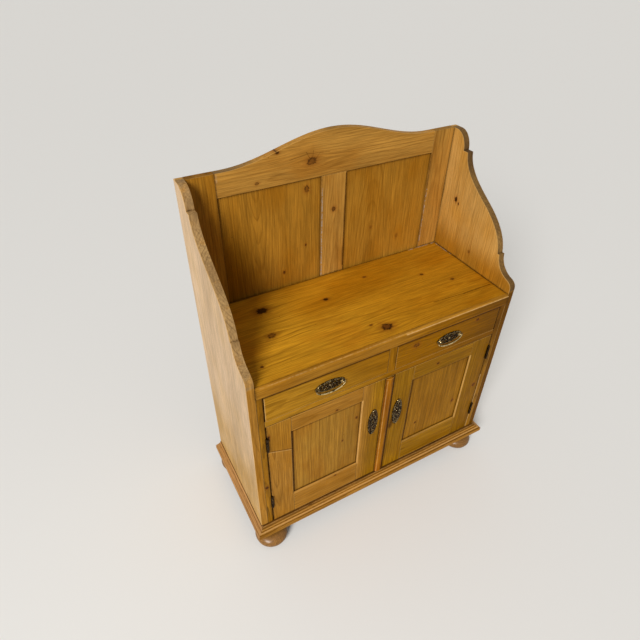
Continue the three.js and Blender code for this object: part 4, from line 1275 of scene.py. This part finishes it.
def add_sheet(bm, loops, thick, soft, matrix, dome=None):
    mesh = pierced_sheet(loops, thick, soft)
    fresh = bmesh.new()
    fresh.from_mesh(mesh)
    bmesh.ops.remove_doubles(fresh, verts=fresh.verts, dist=SAME_PLACE)
    if dome:
        for vertex in fresh.verts:
            vertex.co.z += dome(vertex.co.x, vertex.co.y)
    bmesh.ops.transform(fresh, matrix=matrix, verts=fresh.verts)
    fresh.to_mesh(mesh)
    fresh.free()
    bm.from_mesh(mesh)
    bpy.data.meshes.remove(mesh)


def upright(x, y, z):
    """Stands a form drawn in XY in front of the cabinet, with its Z towards the viewer."""
    return Matrix(((1, 0, 0, x), (0, 0, -1, y), (0, 1, 0, z), (0, 0, 0, 1)))


def oval(across, up, middle=(0, 0), lean=0.0, steps=12, point=0.0):
    """Points of an oval; point makes its far end sharper, as a leaf's."""
    cos_lean, sin_lean = math.cos(lean), math.sin(lean)
    points = []
    for i in range(steps):
        turn = math.tau * i / steps
        x = across * math.cos(turn)
        y = up * math.sin(turn) * (1 - point * math.cos(turn))
        points.append((middle[0] + x * cos_lean - y * sin_lean, middle[1] + x * sin_lean + y * cos_lean))
    return points


SCALLOP_STEPS = 6
SCALLOP_DEPTH = 1.7
TIP_REACH = 2.0
TIP_WIDTH = 0.16


def scalloped(width, height, lobes):
    """The rim of a cast plate: round lobes between sharp cusps, and a small point at either end."""
    wide = width > height
    count = lobes * SCALLOP_STEPS
    points = []
    for i in range(count):
        turn = math.tau * i / count
        x, y = math.cos(turn), math.sin(turn)
        cut = SCALLOP_DEPTH * (1 - abs(math.sin(lobes * turn / 2)))
        tip = TIP_REACH * (math.exp(-(((y if wide else x) / TIP_WIDTH) ** 2)) - 1)
        points.append(((width / 2 - cut + tip * wide) * x, (height / 2 - cut + tip * (not wide)) * y))
    return points


PLATE_BACK = FRONT - 0.3
SHEET_THICK = 1.8
SHEET_SOFT = 0.35
PLATE_FRONT = PLATE_BACK - SHEET_THICK
BEAD_RADIUS = 1.15
BEAD_INSET = 2.3
RIM_INSET = 4.9
RIM_RADIUS = 0.75
RIM_STEPS = 48
WIRE_SIDES = 6
ROUND_HOLE = (1.9, 1.9)


def bead(bm, place, radius, wear=0.7):
    layer = bm.faces.layers.float["wear"]
    made = bmesh.ops.create_icosphere(bm, subdivisions=1, radius=radius, matrix=Matrix.Translation(place))
    for face in {f for v in made["verts"] for f in v.link_faces}:
        face[layer] = wear


def cast_plate(bm, centre, width, height, lobes, holes, rise, beads, wear):
    """A pierced and domed plate with a beaded rim, standing on the front of a board."""
    x, z = centre

    def dome(u, v):
        share = (2 * u / width) ** 2 + (2 * v / height) ** 2
        return rise * max(0.0, 1 - share)

    def on_plate(u, v):
        return (x + u, PLATE_FRONT - dome(u, v), z + v)

    matrix = upright(x, PLATE_BACK - SHEET_THICK / 2, z)
    add_sheet(bm, [scalloped(width, height, lobes), *holes], SHEET_THICK, SHEET_SOFT, matrix, dome)
    for i in range(beads):
        turn = math.tau * (i + 0.5) / beads
        u, v = (width / 2 - BEAD_INSET) * math.cos(turn), (height / 2 - BEAD_INSET) * math.sin(turn)
        bead(bm, on_plate(u, v), BEAD_RADIUS, wear)
    rim = oval(width / 2 - RIM_INSET, height / 2 - RIM_INSET, steps=RIM_STEPS)
    tube(bm, [on_plate(u, v) for u, v in rim], [RIM_RADIUS] * RIM_STEPS, WIRE_SIDES, True, wear / 2)


# Drop handles
PULL_CENTRE = 224
PULL_LEVEL = 676.4
PULL_WIDTH = 102
PULL_HEIGHT = 42
PULL_RISE = 1.6
PULL_LOBES = 22
PULL_BEADS = 46
POST_REACH = 41
POST_SIDES = 16
POST_PROFILE = (
    (0, 0), (5.2, 0), (5.2, 0.9), (3.4, 1.5), (2.8, 2.3),
    (3.6, 3.5), (4.0, 5.0), (3.6, 6.8), (2.3, 8.3), (0, 8.9),
)
BOSS_PROFILE = ((0, 0), (4.6, 0), (3.9, 1.9), (2.2, 3.0), (0, 3.4))
POST_FOOT = PLATE_BACK - 2
BAIL_OUT = 7
BAIL_REACH = 48
BAIL_SHANK = 4.3
BAIL_DROP = 25
BAIL_STEPS = 28
BAIL_SIDES = 12
BAIL_THIN, BAIL_SWELL, BAIL_END = 1.7, 1.1, 2.0
BAIL_BALL = 2.9
PIN_LENGTH = 3.7
PIN_RADIUS = 1.4
PIN_SIDES = 10


def pull_holes():
    """Leaves that lean outwards, an oval above and below the boss, and a row of round holes."""
    holes = []
    for share in (-0.53, -0.27, 0.27, 0.53):
        u = share * PULL_WIDTH / 2
        for side in (-1, 1):
            lean = side * (0.5 if u < 0 else math.pi - 0.5)
            holes.append(oval(5.2, 2.7, (u, side * 8.6 * (1 - 0.35 * share * share)), lean, point=0.35))
    holes += [oval(4.2, 2.6, (0, side * 9.6)) for side in (-1, 1)]
    return holes + [oval(*ROUND_HOLE, (u, 0), steps=8) for u in (-31, -20.5, -10, 10, 20.5, 31)]


def make_pull(hand):
    middle = WAY[hand] * PULL_CENTRE
    bm = new_metal_mesh()
    sizes = (PULL_WIDTH, PULL_HEIGHT, PULL_LOBES)
    cast_plate(bm, (middle, PULL_LEVEL), *sizes, pull_holes(), PULL_RISE, PULL_BEADS, wear=0.6)
    for x in (middle - POST_REACH, middle + POST_REACH):
        turned(bm, POST_PROFILE, POST_SIDES, upright(x, POST_FOOT, PULL_LEVEL), wear=0.8)
    turned(bm, BOSS_PROFILE, POST_SIDES, upright(middle, POST_FOOT, PULL_LEVEL), wear=0.15)
    finish_brass(bm, f"{hand}_pull_plate")


def make_bail(hand):
    middle = WAY[hand] * PULL_CENTRE
    y = PLATE_BACK - BAIL_OUT
    places, radii = [], []
    for i in range(BAIL_STEPS + 1):
        turn = math.pi * i / BAIL_STEPS
        down = BAIL_SHANK + (BAIL_DROP - BAIL_SHANK) * math.sin(turn)
        places.append((middle - BAIL_REACH * math.cos(turn), y, PULL_LEVEL - down))
        radii.append(BAIL_THIN + BAIL_SWELL * math.sin(turn) ** 2)
    places = [(places[0][0], y, PULL_LEVEL), *places, (places[-1][0], y, PULL_LEVEL)]
    bm = new_metal_mesh()
    tube(bm, places, [BAIL_END, *radii, BAIL_END], BAIL_SIDES, False, wear=1.0)
    profile = ((0, 0), (PIN_RADIUS, 0), (PIN_RADIUS, PIN_LENGTH), (0, PIN_LENGTH))
    for side in (-1, 1):
        x = middle + side * BAIL_REACH
        bead(bm, (x, y, PULL_LEVEL), BAIL_BALL)
        place = Matrix.Translation((x - side * PIN_LENGTH, y, PULL_LEVEL))
        turned(bm, profile, PIN_SIDES, place @ Matrix.Rotation(side * math.pi / 2, 4, "Y"), wear=0.6)
    finish_brass(bm, f"{hand}_pull_bail")


# Keyhole plates
KEY_CENTRE = 50
KEY_LEVEL = 406
KEY_WIDTH = 40
KEY_HEIGHT = 130
KEY_RISE = 1.4
KEY_LOBES = 26
KEY_BEADS = 54
KEYHOLE_RADIUS = 3.5
KEYHOLE_SLOT = [(-1.75, -13), (1.75, -13)]
KEYHOLE_ARC_DEG = (-60, 240)
KEYHOLE_STEPS = 14
COLLAR = (6.4, 12.5)
COLLAR_DOWN = 3
COLLAR_OUT = 1.3
COLLAR_RADIUS = 0.8
COLLAR_STEPS = 32
NAIL_REACH = 39
NAIL_OUT = 0.6
NAIL_RADIUS = 2.0


def keyhole_loop():
    """A round hole over a slot, as one outline."""
    start, end = (math.radians(a) for a in KEYHOLE_ARC_DEG)
    arc = [start + (end - start) * i / KEYHOLE_STEPS for i in range(KEYHOLE_STEPS + 1)]
    return [(KEYHOLE_RADIUS * math.cos(a), KEYHOLE_RADIUS * math.sin(a)) for a in arc] + KEYHOLE_SLOT


def key_holes():
    """The keyhole, leaves above and below it, round holes between them, and ovals beside it."""
    holes = [keyhole_loop()]
    for level, side, u in itertools.product((21, 33, 45), (-1, 1), (-1, 1)):
        lean = math.pi / 2 - side * 0.45
        middle = (u * (8.2 - 0.09 * level), side * level)
        holes.append(oval(4.6, 2.3, middle, lean if u > 0 else math.pi - lean, point=0.3))
    holes += [oval(*ROUND_HOLE, (0, v), steps=8) for v in (-53, -27, 27, 53)]
    return holes + [oval(1.7, 3.6, (u, v), steps=10) for v in (-6, 6) for u in (-11.5, 11.5)]


def make_key_plate(hand):
    middle = WAY[hand] * KEY_CENTRE
    bm = new_metal_mesh()
    sizes = (KEY_WIDTH, KEY_HEIGHT, KEY_LOBES)
    cast_plate(bm, (middle, KEY_LEVEL), *sizes, key_holes(), KEY_RISE, KEY_BEADS, wear=0.2)
    y, level = PLATE_FRONT - COLLAR_OUT, KEY_LEVEL - COLLAR_DOWN
    collar = [(middle + u, y, level + v) for u, v in oval(*COLLAR, steps=COLLAR_STEPS)]
    tube(bm, collar, [COLLAR_RADIUS] * COLLAR_STEPS, WIRE_SIDES, True, wear=0.1)
    for v in (-NAIL_REACH, NAIL_REACH):
        bead(bm, (middle, PLATE_FRONT - NAIL_OUT, KEY_LEVEL + v), NAIL_RADIUS)
    finish_brass(bm, f"{hand}_keyhole_plate")


# Butt hinges
HINGE_X = 434.25
HINGE_Y = -181.5
HINGE_HEIGHT = 62
KNUCKLES = 5
KNUCKLE_RADIUS = 3.8
KNUCKLE_GAP = 0.4
KNUCKLE_EASE = 0.5
KNUCKLE_SIDES = 20
STRIP_INSET = 0.3
STRIP_SOFT = 0.2
HINGE_PIN_RADIUS = 1.8
HINGE_PIN_SIDES = 12
HINGE_PIN_HEAD = ((0, 0), (2.4, 0), (1.6, 0.9), (0, 1.2))
LEAF_THICK = 1.5
LEAF_SOFT = 0.3
LEAF_FRONT = -177
LEAF_BACK = -158
BODY_LEAF_X = 436
DOOR_LEAF_X = 432.5
SCREW_RADIUS = 3.3
SCREW_SLOT = 0.45
SCREW_STEPS = 12
SCREW_THICK = 0.8
SCREW_SOFT = 0.15
SCREW_Y = -165.5
SCREW_SHIFTS = (-21, 0, 21)


def add_box(bm, low, high, soft):
    made = bmesh.ops.create_cube(bm, size=1)["verts"]
    low, high = Vector(low), Vector(high)
    bmesh.ops.scale(bm, vec=high - low, verts=made)
    bmesh.ops.translate(bm, vec=(high + low) / 2, verts=made)
    edges = list(dict.fromkeys(e for v in made for e in v.link_edges))
    bmesh.ops.bevel(bm, geom=edges, offset=soft, segments=2, profile=0.5, affect="EDGES")


def half_head(side):
    """One half of a slotted screw head."""
    start = math.asin(SCREW_SLOT / SCREW_RADIUS)
    turns = [start + (math.pi - 2 * start) * i / SCREW_STEPS for i in range(SCREW_STEPS + 1)]
    return [(SCREW_RADIUS * math.cos(t), side * SCREW_RADIUS * math.sin(t)) for t in turns]


def add_knuckle(bm, axis, xs, start, end):
    """A knuckle round the pin, and the strip that joins it to its leaf."""
    rim, full, ease = KNUCKLE_RADIUS - KNUCKLE_EASE, KNUCKLE_RADIUS, KNUCKLE_EASE
    profile = ((0, start), (rim, start), (full, start + ease), (full, end - ease), (rim, end), (0, end))
    turned(bm, profile, KNUCKLE_SIDES, axis, wear=0.25)
    low, high = (xs[0], HINGE_Y, start + STRIP_INSET), (xs[1], LEAF_FRONT + 0.5, end - STRIP_INSET)
    add_box(bm, low, high, STRIP_SOFT)


def add_pin(bm, axis, bottom, top):
    radius, sides = HINGE_PIN_RADIUS, HINGE_PIN_SIDES
    turned(bm, ((0, bottom), (radius, bottom), (radius, top), (0, top)), sides, axis)
    for end, way in ((bottom, -1), (top, 1)):
        turned(bm, [(r, end + way * h) for r, h in HINGE_PIN_HEAD], sides, axis, wear=0.5)


def make_leaf(hand, level_name, side):
    node = f"{hand}_{level_name}_hinge_{side}_leaf"
    way, on_door = WAY[hand], side == "door"
    low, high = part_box(node)
    level = (low.z + high.z) / 2 / MM
    bottom, top = level - HINGE_HEIGHT / 2, level + HINGE_HEIGHT / 2
    inner_x = DOOR_LEAF_X - LEAF_THICK if on_door else BODY_LEAF_X
    xs = sorted((way * inner_x, way * (inner_x + LEAF_THICK)))
    bm = new_metal_mesh()
    add_box(bm, (xs[0], LEAF_FRONT, bottom), (xs[1], LEAF_BACK, top), LEAF_SOFT)
    axis = Matrix.Translation((way * HINGE_X, HINGE_Y, 0))
    pitch = HINGE_HEIGHT / KNUCKLES
    for i in range(1 if on_door else 0, KNUCKLES, 2):
        start, end = bottom + i * pitch, bottom + (i + 1) * pitch
        add_knuckle(bm, axis, xs, start + KNUCKLE_GAP / 2, end - KNUCKLE_GAP / 2)
    if not on_door:
        add_pin(bm, axis, bottom, top)
    face_x = way * (DOOR_LEAF_X if on_door else BODY_LEAF_X)
    turn = Matrix.Rotation(way * (1 if on_door else -1) * math.pi / 2, 4, "Y")
    for shift in SCREW_SHIFTS:
        place = Matrix.Translation((face_x, SCREW_Y, level + shift)) @ turn
        for half in (-1, 1):
            add_sheet(bm, [half_head(half)], SCREW_THICK, SCREW_SOFT, place)
    finish_fitting(bm, f"{node}_forged", node, iron)


# Turned feet
FOOT_TOP = 59.7
SPIGOT_TOP = 77.7
BUN_FLAT = 28
BUN_BULGE = 30
BUN_HEIGHT = 49
BUN_STEPS = 18
FOOT_SIDES = 64
FOOT_UNEVEN = 0.7
FOOT_UNEVEN_SCALE = 0.045


def foot_profile():
    points = [(0, 0), (BUN_FLAT - 1.5, 0)]
    for i in range(1, BUN_STEPS):
        turn = math.pi * (i / BUN_STEPS - 0.5)
        points.append((BUN_FLAT + BUN_BULGE * math.cos(turn), BUN_HEIGHT / 2 * (1 + math.sin(turn))))
    neck = [(23.5, 49), (21.5, 49.4), (21, 50.4), (21.4, 51.8), (22.8, 53.2), (24.6, 53.9), (25, 54.6)]
    spigot = [(10, FOOT_TOP), (10, SPIGOT_TOP - 0.7), (9.2, SPIGOT_TOP), (0, SPIGOT_TOP)]
    return points + neck + [(25, 58.9), (24.2, FOOT_TOP)] + spigot


def make_foot(node):
    low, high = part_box(node)
    middle = (low + high) / 2 / MM
    bm = new_metal_mesh()
    turned(bm, foot_profile(), FOOT_SIDES, Matrix.Translation((middle.x, middle.y, 0)))
    for vertex in bm.verts:
        out = Vector((vertex.co.x - middle.x, vertex.co.y - middle.y, 0))
        if out.length > BUN_FLAT and 0 < vertex.co.z < BUN_HEIGHT:
            rough = noise.noise(vertex.co * FOOT_UNEVEN_SCALE) - 0.5
            vertex.co += out.normalized() * FOOT_UNEVEN * rough
    material = pine(node, low, high, "ZXY", "foot", ring=5, depth=10, coat=FOOT_COAT)
    finish_fitting(bm, f"turned_{node}", node, material)


make_camera()
make_studio()
make_carcass()
make_back()
make_base()
for door in ("left", "right"):
    make_door(door)
    make_drawer(door)
    make_pull(door)
    make_bail(door)
    make_key_plate(door)
    for end in ("front", "back"):
        make_foot(f"{door}_{end}_foot")
    for level in ("upper", "lower"):
        make_leaf(door, level, "body")
        make_leaf(door, level, "door")
make_meeting_strip()
